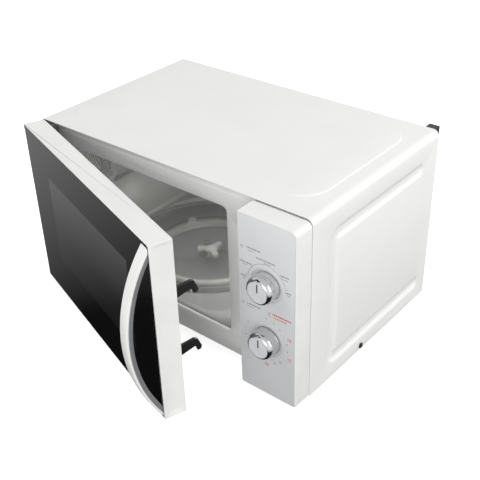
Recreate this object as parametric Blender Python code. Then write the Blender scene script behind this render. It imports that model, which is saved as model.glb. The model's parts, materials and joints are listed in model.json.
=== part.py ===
"""Countertop microwave oven with two dials, a side-hinged door and a glass turntable.

Everything is in metres, +X to the oven's right, +Y to its back and +Z up.  Pieces are modelled with the
door closed, round the point where the cabinet's front edge, its middle and the table meet.  The door is
then set ajar, and the whole oven is shifted so that its own box stands centred on the origin.
"""
import math

import bmesh
import bpy
from mathutils import Vector

# ---------------------------------------------------------------- driving sizes
CABINET_WIDTH = 0.440
CABINET_HEIGHT = 0.245
CABINET_DEPTH = 0.271
FOOT_HEIGHT = 0.013
FOOT_RADIUS = 0.011
SHEET = 0.001                # steel sheet of the cabinet and the cavity
GAP = 0.0003                 # clearance between faces that touch
CORNER_RADIUS = 0.009        # the cover's two long top edges
FRONT_DEPTH = 0.029          # how far door and control panel stand in front of the cabinet
PLATE_RECESS = 0.008         # the front plate sits this far behind the cover's front edge
PANEL_WIDTH = 0.080
PANEL_DROP = 0.0022          # door and panel stop this far below the cover's top
PANEL_LIFT = 0.0025          # the panel starts this far above the cover's lower edge
DOOR_LIFT = 0.0055           # the door starts this far above the cover's lower edge
DOOR_SEAM = 0.0012           # gap round the closed door
PLASTIC_WALL = 0.0022        # wall of the moulded door frame and panel
DOOR_AJAR = math.radians(18.4)

COMPARTMENT_WIDTH = 0.128    # electrical bay to the right of the cavity
SIDE_GAP = 0.026             # air space left of the cavity
TOP_GAP = 0.034              # air space above the cavity
REAR_GAP = 0.009             # air space behind the cavity
LEDGE_HEIGHT = 0.0325        # cavity ledge above the cover's lower edge
PAN_DEPTH = 0.0125           # sunken part of the cavity floor
PAN_CORNER = 0.060
OPENING_RADIUS = 0.006

BEAD_WIDTH = 0.018           # C-shaped bead pressed into the cover's sides
BEAD_DEPTH = 0.0025
EMBOSS_HEIGHT = 0.0015       # raised field on top of the cover
EMBOSS_CORNER = 0.037

TRAY_CLEARANCE = 0.004
TRAY_RIM_WIDTH = 0.0275
TRAY_RIM_RISE = 0.0105
TRAY_GLASS = 0.0035
WHEEL_RADIUS = 0.00675
WHEEL_WIDTH = 0.005
ROLLER_COUNT = 3
COUPLER_REACH = 0.020

GLASS_THICKNESS = 0.0032
DOOR_LIP = 0.0008            # plastic left showing round the door glass
WINDOW_SIDE = 0.066          # dark border of the door glass beside the window
WINDOW_RIGHT = 0.062
WINDOW_TOP = 0.050
WINDOW_BOTTOM = 0.0605
HINGE_INSET = 0.011
HINGE_SETBACK = 0.012
HINGE_PIN_RADIUS = 0.003
HINGE_PLATE = 0.002
PIN_LENGTH = 0.0125

HANDLE_WIDTH = 0.016
HANDLE_THICKNESS = 0.0085
HANDLE_BOW = 0.035           # how far the bow stands in front of the glass
HANDLE_MARGIN = 0.004

LATCH_THICKNESS = 0.004
LATCH_INSET = 0.010          # latch plane to the door's free edge
LATCH_SPACING = 0.080
LATCH_REACH = 0.029          # how far the hooks reach behind the cabinet's front edge
LATCH_TRAVEL = 0.004
HOOK_HALF_HEIGHT = 0.007

KNOB_RADIUS = 0.0175
KNOB_DEPTH = 0.017
KNOB_SPACING = 0.0765
KNOB_DROP = 0.0818           # upper dial's axis below the panel's top
DISH_RADIUS = 0.0215
SHAFT_RADIUS = 0.003
FASCIA_THICKNESS = 0.0006

WAVEGUIDE_DEPTH = 0.038
WAVEGUIDE_LENGTH = 0.080
WAVEGUIDE_HEIGHT = 0.076
FAN_ROOM = 0.01395            # blade tips to the sides of the bay
FAN_SPACE = 0.065            # rear of the bay, from the shroud to the cabinet's back
CORE_ROOM = 0.01595           # transformer core to the sides of the bay
CORE_STACK = 0.056
CORE_HEIGHT = 0.074
CORE_LIMB = 0.015
SPACER_REACH = 0.015
SPACER_HALF_WIDTH = 0.007
SPACER_HALF_HEIGHT = 0.012
SPACER_INSET = 0.015         # rear spacer's middle to the cabinet's side
LEFT_SPACER_DROP = 0.014     # each spacer's top below the cover's
RIGHT_SPACER_DROP = 0.002
SPACER_WALL = 0.002
SWITCH_DEPTH = 0.011
SWITCH_WIDTH = 0.010
SWITCH_HALF_LENGTH = 0.014
PLUNGER_RADIUS = 0.0016
SWITCH_GAP = 0.003           # pressed hook to switch

SCREW_HOLE = 0.0021
SCREW_HEAD = 0.0038
SCREW_SETBACK = 0.111        # the cover's screw, behind the cover's front edge
SCREW_HEIGHT = 0.0065        # and above its lower edge
FOOT_PEG = 0.003
CORD_HOLE = 0.0075
CORD_FROM_SIDE = 0.040
CORD_FROM_TOP = 0.026
MOTOR_RADIUS = 0.0245        # turntable motor
MOTOR_HEIGHT = 0.0145
COUPLER_SHAFT = 0.0045
AXLE_HALF = 0.0012
TRACK_INSET = 0.004          # the rollers run this far inside the tray's base
ANTENNA_RADIUS = 0.008
TUBE_HALF_Y = 0.034          # magnetron
TUBE_HALF_Z = 0.036
TUBE_SPACE = 0.010
GUIDE_SPACE = 0.026          # shroud to waveguide
GUIDE_DROP = 0.016           # cavity's top to the waveguide's
FAN_DROP = 0.012             # fan's axis below the magnetron's
FAN_MOTOR_SETBACK = 0.026    # behind the shroud
FAN_MOTOR_STACK = 0.024
CAPACITOR_LEFT_ROOM = 0.008
CAPACITOR_RIGHT_ROOM = 0.0259  # for the terminals and the diode
CAPACITOR_HALF_Y = 0.016
CAPACITOR_HALF_Z = 0.025
TONGUE_ROOM = 0.004          # space above and below each hinge tongue
HOOK_RISE = 0.003            # barb above the hook
LATCH_RAISE = 0.003          # hooks' middle above the door's
LATCH_ROOT_DEPTH = 0.0115    # the hooks grow from this far inside the door
LATCH_STRIP_WIDTH = 0.007
LAMP_RADIUS = 0.008
LAMP_SETBACK = 0.026         # behind the front plate
LAMP_DROP = 0.011            # below the cavity's top
LAMP_ROOM = 0.001
LAMP_REACH = 0.038
TIMER_SETBACK = 0.004        # timer unit behind the panel's wall
TIMER_TAIL = 0.013           # and how far it reaches past the front plate
SHAFT_SEAT = 0.014

# ---------------------------------------------------------------- places that follow
LEFT, RIGHT = -CABINET_WIDTH / 2, CABINET_WIDTH / 2
BASE = FOOT_HEIGHT
TOP = BASE + CABINET_HEIGHT
BACK = CABINET_DEPTH
FIT = SHEET + GAP
PLATE_BACK = PLATE_RECESS + SHEET
FLOOR = BASE + SHEET

CAVITY_LEFT = LEFT + SIDE_GAP
CAVITY_RIGHT = RIGHT - COMPARTMENT_WIDTH
CAVITY_BACK = BACK - REAR_GAP
LEDGE = BASE + LEDGE_HEIGHT
PAN_FLOOR = LEDGE - PAN_DEPTH
CAVITY_TOP = TOP - TOP_GAP
TURN_X = (CAVITY_LEFT + CAVITY_RIGHT) / 2
TURN_Y = (PLATE_BACK + CAVITY_BACK) / 2
BAY_LEFT = CAVITY_RIGHT + SHEET + GAP
BAY_RIGHT = RIGHT - FIT - BEAD_DEPTH - SHEET
FAN_RADIUS = (BAY_RIGHT - BAY_LEFT) / 2 - FAN_ROOM
CORE_WIDTH = BAY_RIGHT - BAY_LEFT - 2 * CORE_ROOM
CAPACITOR_LENGTH = BAY_RIGHT - BAY_LEFT - CAPACITOR_LEFT_ROOM - CAPACITOR_RIGHT_ROOM
LAMP_SPOT = (PLATE_BACK + LAMP_SETBACK, CAVITY_TOP - LAMP_DROP)

TRAY_RADIUS = min(CAVITY_BACK - PLATE_BACK, CAVITY_RIGHT - CAVITY_LEFT) / 2 - TRAY_CLEARANCE
TRAY_BASE_RADIUS = TRAY_RADIUS - TRAY_RIM_WIDTH
TRACK_RADIUS = TRAY_BASE_RADIUS - TRACK_INSET
WHEEL_AXIS = PAN_FLOOR + GAP + WHEEL_RADIUS
TRAY_BOTTOM = WHEEL_AXIS + WHEEL_RADIUS + GAP

DOOR_LEFT = LEFT
DOOR_RIGHT = RIGHT - PANEL_WIDTH - DOOR_SEAM
DOOR_FRONT = -FRONT_DEPTH
DOOR_BACK = -DOOR_SEAM
DOOR_BOTTOM = BASE + DOOR_LIFT
DOOR_TOP = TOP - PANEL_DROP
GLASS_BACK = DOOR_FRONT + GLASS_THICKNESS
WEB_BACK = GLASS_BACK + GAP + PLASTIC_WALL
HINGE_X = LEFT + HINGE_INSET
HINGE_Y = -HINGE_SETBACK
LATCH_X = DOOR_RIGHT - LATCH_INSET
LATCH_MIDDLE = (DOOR_TOP + DOOR_BOTTOM) / 2 + LATCH_RAISE
HOOK_HEIGHTS = (LATCH_MIDDLE + LATCH_SPACING / 2, LATCH_MIDDLE - LATCH_SPACING / 2)
LATCH_ROOT = DOOR_BACK - LATCH_ROOT_DEPTH
LATCH_FRONT = LATCH_ROOT - LATCH_STRIP_WIDTH

PANEL_LEFT = RIGHT - PANEL_WIDTH
PANEL_BOTTOM = BASE + PANEL_LIFT
PANEL_TOP = TOP - PANEL_DROP
DIAL_X = (PANEL_LEFT + RIGHT) / 2
POWER_Z = PANEL_TOP - KNOB_DROP
TIMER_Z = POWER_Z - KNOB_SPACING
TIMER_UNIT_FRONT = DOOR_FRONT + PLASTIC_WALL + TIMER_SETBACK
TIMER_UNIT_BACK = PLATE_BACK + TIMER_TAIL

SHROUD = BACK - FAN_SPACE
GUIDE_BACK = SHROUD - GUIDE_SPACE
GUIDE_FRONT = GUIDE_BACK - WAVEGUIDE_LENGTH
GUIDE_TOP = CAVITY_TOP - GUIDE_DROP
GUIDE_BOTTOM = GUIDE_TOP - WAVEGUIDE_HEIGHT
TUBE_Y = (GUIDE_FRONT + GUIDE_BACK) / 2
TUBE_Z = (GUIDE_TOP + GUIDE_BOTTOM) / 2
TUBE_LEFT = BAY_LEFT + WAVEGUIDE_DEPTH + GAP
TUBE_RIGHT = BAY_RIGHT - TUBE_SPACE
FAN_X = (BAY_LEFT + BAY_RIGHT) / 2
FAN_Z = TUBE_Z - FAN_DROP
FAN_MOTOR_FRONT = SHROUD + FAN_MOTOR_SETBACK
FAN_MOTOR_BACK = FAN_MOTOR_FRONT + FAN_MOTOR_STACK
SWITCH_FRONT = LATCH_REACH + SWITCH_GAP
BRACKET_BACK = SWITCH_FRONT + SWITCH_DEPTH
SCREW_SPOT = (SCREW_SETBACK, BASE + SCREW_HEIGHT)
CORD_SPOT = (RIGHT - CORD_FROM_SIDE, TOP - CORD_FROM_TOP)

OVERSHOOT = 0.004            # how far a cutter reaches past the faces it opens

# ---------------------------------------------------------------- finishes: colour, roughness, metallic
FINISHES = {
    "white_enamel": ((0.82, 0.82, 0.81), 0.35, 0.0),
    "cavity_paint": ((0.50, 0.50, 0.49), 0.45, 0.0),
    "white_plastic": ((0.84, 0.84, 0.83), 0.38, 0.0),
    "silver_film": ((0.62, 0.63, 0.64), 0.35, 0.3),
    "knob_silver": ((0.66, 0.66, 0.66), 0.28, 0.6),
    "black_plastic": ((0.012, 0.012, 0.013), 0.45, 0.0),
    "grey_plastic": ((0.30, 0.30, 0.31), 0.50, 0.0),
    "cream_plastic": ((0.70, 0.66, 0.55), 0.50, 0.0),
    "dark_glass": ((0.02, 0.02, 0.022), 0.06, 0.0),
    "clear_glass": ((0.75, 0.80, 0.79), 0.04, 0.0),
    "galvanised": ((0.55, 0.56, 0.57), 0.42, 0.9),
    "bright_steel": ((0.62, 0.62, 0.62), 0.28, 1.0),
    "lamination": ((0.10, 0.09, 0.085), 0.60, 0.5),
    "copper_winding": ((0.42, 0.16, 0.07), 0.40, 0.7),
    "mica": ((0.42, 0.33, 0.22), 0.60, 0.0),
    "rubber": ((0.02, 0.02, 0.02), 0.80, 0.0),
    "circuit_board": ((0.28, 0.17, 0.07), 0.55, 0.0),
}


# ---------------------------------------------------------------- mesh helpers
def to_mesh(bm):
    """Turn a bmesh into a mesh whose faces all point outwards."""
    bmesh.ops.recalc_face_normals(bm, faces=bm.faces[:])
    mesh = bpy.data.meshes.new("shape")
    bm.to_mesh(mesh)
    bm.free()
    return mesh


def arc(centre, radius, start, end, steps=5):
    """Points on an arc; the angles are in degrees."""
    points = []
    for i in range(steps + 1):
        angle = math.radians(start + (end - start) * i / steps)
        points.append((centre[0] + radius * math.cos(angle), centre[1] + radius * math.sin(angle)))
    return points


def rounded_rect(a0, a1, b0, b1, radii, steps=5):
    """Outline of a rectangle, anticlockwise; radii are those of its low-low, high-low, high-high and
    low-high corners, or one radius for all four."""
    if not isinstance(radii, tuple):
        radii = (radii,) * 4
    corners = ((a0, b0, 1, 1, 180), (a1, b0, -1, 1, 270), (a1, b1, -1, -1, 0), (a0, b1, 1, -1, 90))
    points = []
    for (a, b, in_a, in_b, start), radius in zip(corners, radii):
        if radius > 0:
            centre = (a + in_a * radius, b + in_b * radius)
            points += arc(centre, radius, start, start + 90, steps)
        else:
            points.append((a, b))
    return points


def prism(outline, axis, low, high):
    """Extrude an outline along an axis.  Its points are (y, z) for X, (x, z) for Y and (x, y) for Z."""
    spots = {
        "X": lambda a, b: (low, a, b),
        "Y": lambda a, b: (a, low, b),
        "Z": lambda a, b: (a, b, low),
    }
    direction = {"X": Vector((1, 0, 0)), "Y": Vector((0, 1, 0)), "Z": Vector((0, 0, 1))}[axis]
    bm = bmesh.new()
    face = bm.faces.new([bm.verts.new(spots[axis](a, b)) for a, b in outline])
    grown = bmesh.ops.extrude_face_region(bm, geom=[face])["geom"]
    moved = [v for v in grown if isinstance(v, bmesh.types.BMVert)]
    bmesh.ops.translate(bm, verts=moved, vec=direction * (high - low))
    return to_mesh(bm)


def box(x0, x1, y0, y1, z0, z1):
    return prism([(x0, y0), (x1, y0), (x1, y1), (x0, y1)], "Z", z0, z1)


def rod(axis, centre, radius, low, high, steps=24):
    """Cylinder along an axis; its centre is given in the plane across that axis."""
    return prism(arc(centre, radius, 0, 360 * (steps - 1) / steps, steps - 1), axis, low, high)


def turned(profile, centre, axis="Z", steps=36):
    """Spin an open profile of (radius, height) points that starts and ends on the axis."""
    across = {"Z": Vector((1, 0, 0)), "Y": Vector((1, 0, 0)), "X": Vector((0, 1, 0))}[axis]
    along = {"Z": Vector((0, 0, 1)), "Y": Vector((0, 1, 0)), "X": Vector((1, 0, 0))}[axis]
    centre = Vector(centre)
    bm = bmesh.new()
    verts = [bm.verts.new(centre + across * r + along * h) for r, h in profile]
    edges = [bm.edges.new(pair) for pair in zip(verts, verts[1:])]
    bmesh.ops.spin(bm, geom=verts + edges, cent=centre, axis=along, angle=math.tau, steps=steps)
    bmesh.ops.remove_doubles(bm, verts=bm.verts[:], dist=0.000005)
    return to_mesh(bm)


def material_for(name, finish):
    colour, roughness, metallic = FINISHES[finish]
    material = bpy.data.materials.new(name + "_" + finish)
    material.use_nodes = True
    shader = material.node_tree.nodes["Principled BSDF"]
    shader.inputs["Base Color"].default_value = (*colour, 1.0)
    shader.inputs["Roughness"].default_value = roughness
    shader.inputs["Metallic"].default_value = metallic
    material.diffuse_color = (*colour, 1.0)
    return material


def piece(name, mesh, finish):
    """Make a named object with its own material from a mesh."""
    mesh.name = name
    mesh.materials.clear()
    mesh.materials.append(material_for(name, finish))
    ob = bpy.data.objects.new(name, mesh)
    bpy.context.scene.collection.objects.link(ob)
    return ob


def combine(ob, operation, *tools):
    """Cut meshes out of an object, or join them to it, one Boolean after another."""
    for mesh in tools:
        tool = bpy.data.objects.new("tool", mesh)
        bpy.context.scene.collection.objects.link(tool)
        modifier = ob.modifiers.new("step", "BOOLEAN")
        modifier.operation = operation
        modifier.solver = "EXACT"
        modifier.object = tool
        evaluated = ob.evaluated_get(bpy.context.evaluated_depsgraph_get())
        result = bpy.data.meshes.new_from_object(evaluated)
        ob.modifiers.remove(modifier)
        materials = ob.data.materials[:]
        result.name = ob.name
        ob.data = result
        ob.data.materials.clear()
        ob.data.materials.append(materials[0])
        bpy.data.objects.remove(tool)
    return ob


def cut(ob, *tools):
    return combine(ob, "DIFFERENCE", *tools)


def join(ob, *tools):
    return combine(ob, "UNION", *tools)


def smooth(ob, angle=40):
    ob.data.shade_smooth()
    ob.data.set_sharp_from_angle(angle=math.radians(angle))
    return ob


def pivot(name, place, parent=None):
    """An empty that holds pieces and, for a moving group, sits on its joint's axis."""
    empty = bpy.data.objects.new(name, None)
    bpy.context.scene.collection.objects.link(empty)
    empty["place"] = place
    empty.parent = parent
    start = Vector(parent["place"]) if parent else Vector((0, 0, 0))
    empty.location = Vector(place) - start
    return empty


def hang(parent, ob, origin=None):
    """Parent an object that was modelled in the oven's frame, with its own origin at the given place,
    or else at the middle of its box."""
    if origin is None:
        corners = [Vector(corner) for corner in ob.bound_box]
        origin = (corners[0] + corners[6]) / 2
    origin = Vector(origin)
    for vertex in ob.data.vertices:
        vertex.co -= origin
    ob.parent = parent
    ob.location = origin - Vector(parent["place"])
    return ob


def grow(rect, amount):
    """Widen (x0, x1, y0, y1) by the same amount on every side."""
    return rect[0] - amount, rect[1] + amount, rect[2] - amount, rect[3] + amount


# ---------------------------------------------------------------- cabinet
def cover_outline(inset):
    """The cover's cross-section seen from the front, open at the bottom, as a closed outline."""
    left, right, top = LEFT + inset, RIGHT - inset, TOP - inset
    radius = CORNER_RADIUS - inset
    return rounded_rect(left, right, BASE, top, (0, 0, radius, radius), 4)


def bead_outline(grow_by):
    """C-shaped bead on the cover's side as (y, z) points: a leg near the front, two arms to the back."""
    half = BEAD_WIDTH / 2 + grow_by
    front = 0.0435
    high, low = TOP - 0.039, BASE + 0.029
    high_end, low_end = BACK - 0.043, BACK - 0.030
    turn = 0.011
    points = arc((low_end, low), half, -90, 90, 6)
    points += arc((front + turn, low + turn), max(turn - half, 0.0005), 270, 180, 3)
    points += arc((front + turn, high - turn), max(turn - half, 0.0005), 180, 90, 3)
    points += arc((high_end, high), half, -90, 90, 6)
    points += arc((front + turn, high - turn), turn + half, 90, 180, 5)
    points += arc((front + turn, low + turn), turn + half, 180, 270, 5)
    return points


def make_outer_cover(root):
    """Folded sheet over top and sides, with a raised field, pressed beads and louvres on the left."""
    cover = piece("outer_cover", prism(cover_outline(0), "Y", 0, BACK), "white_enamel")
    inner = rounded_rect(LEFT + SHEET, RIGHT - SHEET, BASE - OVERSHOOT, TOP - SHEET,
                         (0, 0, CORNER_RADIUS - SHEET, CORNER_RADIUS - SHEET), 4)
    cut(cover, prism(inner, "Y", -OVERSHOOT, BACK + OVERSHOOT))
    field = (LEFT + 0.017, RIGHT - 0.023, 0.027, BACK - 0.026)
    join(cover, prism(rounded_rect(*field, EMBOSS_CORNER, 6), "Z", TOP - SHEET / 2, TOP + EMBOSS_HEIGHT))
    under = rounded_rect(*grow(field, -SHEET), EMBOSS_CORNER - SHEET, 6)
    cut(cover, prism(under, "Z", TOP - SHEET - OVERSHOOT, TOP + EMBOSS_HEIGHT - SHEET))
    for side, x in ((1, RIGHT), (-1, LEFT)):
        inside = sorted((x - side * SHEET / 2, x - side * (BEAD_DEPTH + SHEET)))
        join(cover, prism(bead_outline(SHEET), "X", *inside))
        hollow = sorted((x - side * BEAD_DEPTH, x + side * OVERSHOOT))
        cut(cover, prism(bead_outline(0), "X", *hollow))
    for i in range(8):
        y = BACK - 0.130 + i * 0.011
        louvre = box(LEFT - OVERSHOOT, LEFT + SHEET + OVERSHOOT, y, y + 0.004, BASE + 0.060, BASE + 0.085)
        cut(cover, louvre)
    screw_hole = rod("X", SCREW_SPOT, SCREW_HOLE, RIGHT - SHEET - OVERSHOOT, RIGHT + OVERSHOOT, 16)
    cut(cover, screw_hole)
    hang(root, cover)


def make_cover_screw(root):
    """Pan-head screw through the cover's right side into the base plate's flange."""
    shank = 0.0017
    head_low = RIGHT + GAP
    profile = [(0, -0.007), (shank, -0.007), (shank, 0), (SCREW_HEAD, 0), (SCREW_HEAD, 0.0010),
               (SCREW_HEAD * 0.6, 0.0019), (0, 0.0022)]
    screw = piece("cover_screw_right", turned(profile, (head_low, *SCREW_SPOT), "X", 16), "black_plastic")
    hang(root, smooth(screw))


def make_base_plate(root):
    """Floor of the cabinet, with turned-up sides, feet holes, vents and a hole under the turntable motor."""
    left, right = LEFT + FIT, RIGHT - FIT
    front, back = PLATE_BACK + GAP, BACK - SHEET - GAP
    flange = 0.012
    plate = piece("base_plate", box(left, right, front, back, BASE, BASE + flange), "galvanised")
    cut(plate, box(left + SHEET, right - SHEET, front - OVERSHOOT, back + OVERSHOOT, FLOOR, BASE + 0.03))
    cut(plate, rod("Z", (TURN_X, TURN_Y), MOTOR_RADIUS + 0.004, BASE - OVERSHOOT, FLOOR + OVERSHOOT, 24))
    for x, y in foot_spots():
        cut(plate, rod("Z", (x, y), FOOT_PEG + GAP, BASE - OVERSHOOT, FLOOR + OVERSHOOT, 12))
    for i in range(6):
        x = BAY_LEFT + 0.020 + i * 0.014
        cut(plate, box(x, x + 0.005, SHROUD + 0.006, back - 0.016, BASE - OVERSHOOT, FLOOR + OVERSHOOT))
    cut(plate, rod("X", SCREW_SPOT, SCREW_HOLE, right - SHEET - OVERSHOOT, right + OVERSHOOT, 16))
    hang(root, plate)


def foot_spots():
    return [(side * (CABINET_WIDTH / 2 - 0.035), y) for side in (-1, 1) for y in (0.040, BACK - 0.035)]


def make_feet(root):
    """Four turned rubber feet, each with a peg pushed up through the base plate."""
    top = FOOT_HEIGHT - GAP
    profile = [(0, 0), (FOOT_RADIUS * 0.8, 0), (FOOT_RADIUS, top), (FOOT_PEG, top), (FOOT_PEG, top + 0.004),
               (0, top + 0.004)]
    mesh = turned(profile, (0, 0, 0), "Z", 20)
    for name, (x, y) in zip(("left_front", "left_rear", "right_front", "right_rear"), foot_spots()):
        foot = smooth(piece("foot_" + name, mesh.copy(), "rubber"))
        hang(root, foot, (0, 0, 0))
        foot.location = (x, y, 0)


def make_rear_panel(root):
    """Sheet that closes the back, with the fan's intake slots, outlet slots and the cord's hole."""
    radius = CORNER_RADIUS - FIT
    outline = rounded_rect(LEFT + FIT, RIGHT - FIT, BASE, TOP - FIT, (0, 0, radius, radius), 4)
    panel = piece("rear_panel", prism(outline, "Y", BACK - SHEET, BACK), "galvanised")
    through = (BACK - SHEET - OVERSHOOT, BACK + OVERSHOOT)
    for i in range(7):
        z = FAN_Z - 0.033 + i * 0.010
        cut(panel, box(FAN_X - 0.036, FAN_X + 0.036, *through, z, z + 0.005))
    for i in range(9):
        x = CAVITY_LEFT + 0.030 + i * 0.014
        cut(panel, box(x, x + 0.006, *through, TOP - 0.030, TOP - 0.012))
    cut(panel, rod("Y", CORD_SPOT, CORD_HOLE, *through, 20))
    hang(root, panel)


def make_cord_gland(root):
    """Bush that guards the cord's hole in the rear panel; its bore is empty."""
    inside, outside = BACK - SHEET - 0.006, BACK + 0.005
    gland = piece("cord_gland", rod("Y", CORD_SPOT, CORD_HOLE - GAP, inside, outside, 20), "black_plastic")
    join(gland, rod("Y", CORD_SPOT, CORD_HOLE + 0.003, BACK + GAP, outside, 20))
    cut(gland, rod("Y", CORD_SPOT, 0.0038, inside - OVERSHOOT, outside + OVERSHOOT, 16))
    hang(root, smooth(gland))


def make_rear_spacers(root):
    """Two moulded stand-offs that keep the oven's back away from a wall."""
    front, back = BACK + GAP, BACK + GAP + SPACER_REACH
    wall, half = SPACER_WALL, SPACER_HALF_WIDTH
    sides = ("left", LEFT + SPACER_INSET, LEFT_SPACER_DROP), ("right", RIGHT - SPACER_INSET, RIGHT_SPACER_DROP)
    for name, x, drop in sides:
        top = TOP - drop
        bottom = top - 2 * SPACER_HALF_HEIGHT
        spacer = piece("rear_spacer_" + name, box(x - half, x + half, front, back, bottom, top), "black_plastic")
        inside = half - wall
        cut(spacer, box(x - inside, x + inside, front + wall, back + OVERSHOOT, bottom + wall, top - wall))
        join(spacer, box(x - wall / 2, x + wall / 2, front + wall / 2, back, bottom + wall / 2, top - wall / 2))
        hang(root, spacer)


def make_front_plate(root):
    """Painted plate round the cavity's mouth, with the latch slots and the hole for the timer unit."""
    radius = CORNER_RADIUS - FIT
    outline = rounded_rect(LEFT + FIT, RIGHT - FIT, BASE + 0.002, TOP - FIT, (0, 0, radius, radius), 4)
    plate = piece("front_plate", prism(outline, "Y", PLATE_RECESS, PLATE_BACK), "white_enamel")
    through = (PLATE_RECESS - OVERSHOOT, PLATE_BACK + OVERSHOOT)
    mouth = rounded_rect(CAVITY_LEFT, CAVITY_RIGHT, LEDGE, CAVITY_TOP, OPENING_RADIUS, 4)
    cut(plate, prism(mouth, "Y", *through))
    for z in HOOK_HEIGHTS:
        cut(plate, slot_at(z, *through))
    unit = timer_unit_box(0.003)
    cut(plate, box(unit[0], unit[1], *through, unit[2], unit[3]))
    hang(root, plate)


def slot_at(z, y0, y1):
    """Space that one latch hook needs, with room for its swing and its lift."""
    left, right = LATCH_X - LATCH_THICKNESS / 2 - 0.003, LATCH_X + LATCH_THICKNESS / 2 + 0.0045
    low, high = z - HOOK_HALF_HEIGHT - 0.003, z + HOOK_HALF_HEIGHT + HOOK_RISE + LATCH_TRAVEL + 0.003
    return box(left, right, y0, y1, low, high)


def make_cavity(root):
    """Five painted walls round the oven space: a ledge all round and a sunken pan under the turntable."""
    front = PLATE_BACK + GAP
    inner = (CAVITY_LEFT, CAVITY_RIGHT, front - OVERSHOOT, CAVITY_BACK)
    shell = piece("cavity_shell", box(inner[0] - SHEET, inner[1] + SHEET, front, CAVITY_BACK + SHEET,
                                      LEDGE - SHEET, CAVITY_TOP + SHEET), "cavity_paint")
    pan = (CAVITY_LEFT + 0.008, CAVITY_RIGHT - 0.008, PLATE_BACK + 0.012, CAVITY_BACK - 0.008)
    outside = rounded_rect(*grow(pan, SHEET), PAN_CORNER + SHEET, 7)
    join(shell, prism(outside, "Z", PAN_FLOOR - SHEET, LEDGE - SHEET / 2))
    cut(shell, box(*inner, LEDGE, CAVITY_TOP))
    cut(shell, prism(rounded_rect(*pan, PAN_CORNER, 7), "Z", PAN_FLOOR, LEDGE + OVERSHOOT))
    cut(shell, rod("Z", (TURN_X, TURN_Y), COUPLER_SHAFT + 0.001, PAN_FLOOR - OVERSHOOT,
                   PAN_FLOOR + OVERSHOOT, 16))
    wall = (CAVITY_RIGHT - OVERSHOOT, CAVITY_RIGHT + SHEET + OVERSHOOT)
    cut(shell, box(*wall, GUIDE_FRONT + 0.008, GUIDE_BACK - 0.008, GUIDE_BOTTOM + 0.010, GUIDE_TOP - 0.010))
    hang(root, shell)


def make_waveguide_cover(root):
    """Mica sheet on the cavity's right wall, over the opening that the microwaves come through."""
    sheet = box(CAVITY_RIGHT - GAP - 0.0006, CAVITY_RIGHT - GAP, GUIDE_FRONT + 0.003, GUIDE_BACK - 0.003,
                GUIDE_BOTTOM + 0.005, GUIDE_TOP - 0.005)
    hang(root, piece("waveguide_cover", sheet, "mica"))


# ---------------------------------------------------------------- electrical bay
def make_waveguide(root):
    """Steel duct on the cavity's right wall, open towards the cavity, with a hole for the antenna."""
    left, right = BAY_LEFT, BAY_LEFT + WAVEGUIDE_DEPTH
    duct = piece("waveguide", box(left, right, GUIDE_FRONT, GUIDE_BACK, GUIDE_BOTTOM, GUIDE_TOP),
                 "galvanised")
    cut(duct, box(left - OVERSHOOT, right - SHEET, GUIDE_FRONT + SHEET, GUIDE_BACK - SHEET,
                  GUIDE_BOTTOM + SHEET, GUIDE_TOP - SHEET))
    cut(duct, rod("X", (TUBE_Y, TUBE_Z), ANTENNA_RADIUS + 0.002, right - OVERSHOOT, right + OVERSHOOT, 16))
    hang(root, duct)


def make_magnetron(root):
    """Magnetron: yoke with cooling fins open from front to back, filter box and antenna."""
    y0, y1 = TUBE_Y - TUBE_HALF_Y, TUBE_Y + TUBE_HALF_Y
    z0, z1 = TUBE_Z - TUBE_HALF_Z, TUBE_Z + TUBE_HALF_Z
    filter_left = TUBE_RIGHT - 0.018
    tube = piece("magnetron", box(TUBE_LEFT, filter_left, y0, y1, z0, z1), "galvanised")
    for i in range(6):
        x = TUBE_LEFT + 0.008 + i * (filter_left - TUBE_LEFT - 0.012) / 6
        cut(tube, box(x, x + 0.0035, y0 - OVERSHOOT, y1 + OVERSHOOT, z0 + 0.010, z1 - 0.010))
    join(tube, box(filter_left - 0.001, TUBE_RIGHT, y0 + 0.012, y1 - 0.012, z0 + 0.008, z1 - 0.008))
    antenna = rod("X", (TUBE_Y, TUBE_Z), ANTENNA_RADIUS, TUBE_LEFT - 0.024, TUBE_LEFT + 0.001, 16)
    join(tube, antenna)
    hang(root, tube)


def make_magnetron_thermostat(root):
    """Snap-disc cut-out on top of the magnetron's yoke."""
    centre = (TUBE_LEFT + 0.020, TUBE_Y, TUBE_Z + TUBE_HALF_Z + GAP)
    profile = [(0, 0), (0.0095, 0), (0.0095, 0.0015), (0.0075, 0.0015), (0.0075, 0.007), (0, 0.007)]
    hang(root, smooth(piece("magnetron_thermostat", turned(profile, centre, "Z", 18), "black_plastic")))


def core_place():
    """Box of the transformer's laminated core: x0, x1, y0, y1, z0, z1."""
    x0 = (BAY_LEFT + BAY_RIGHT - CORE_WIDTH) / 2
    y0 = BRACKET_BACK + 0.015
    z0 = FLOOR + GAP
    return x0, x0 + CORE_WIDTH, y0, y0 + CORE_STACK, z0, z0 + CORE_HEIGHT


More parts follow.
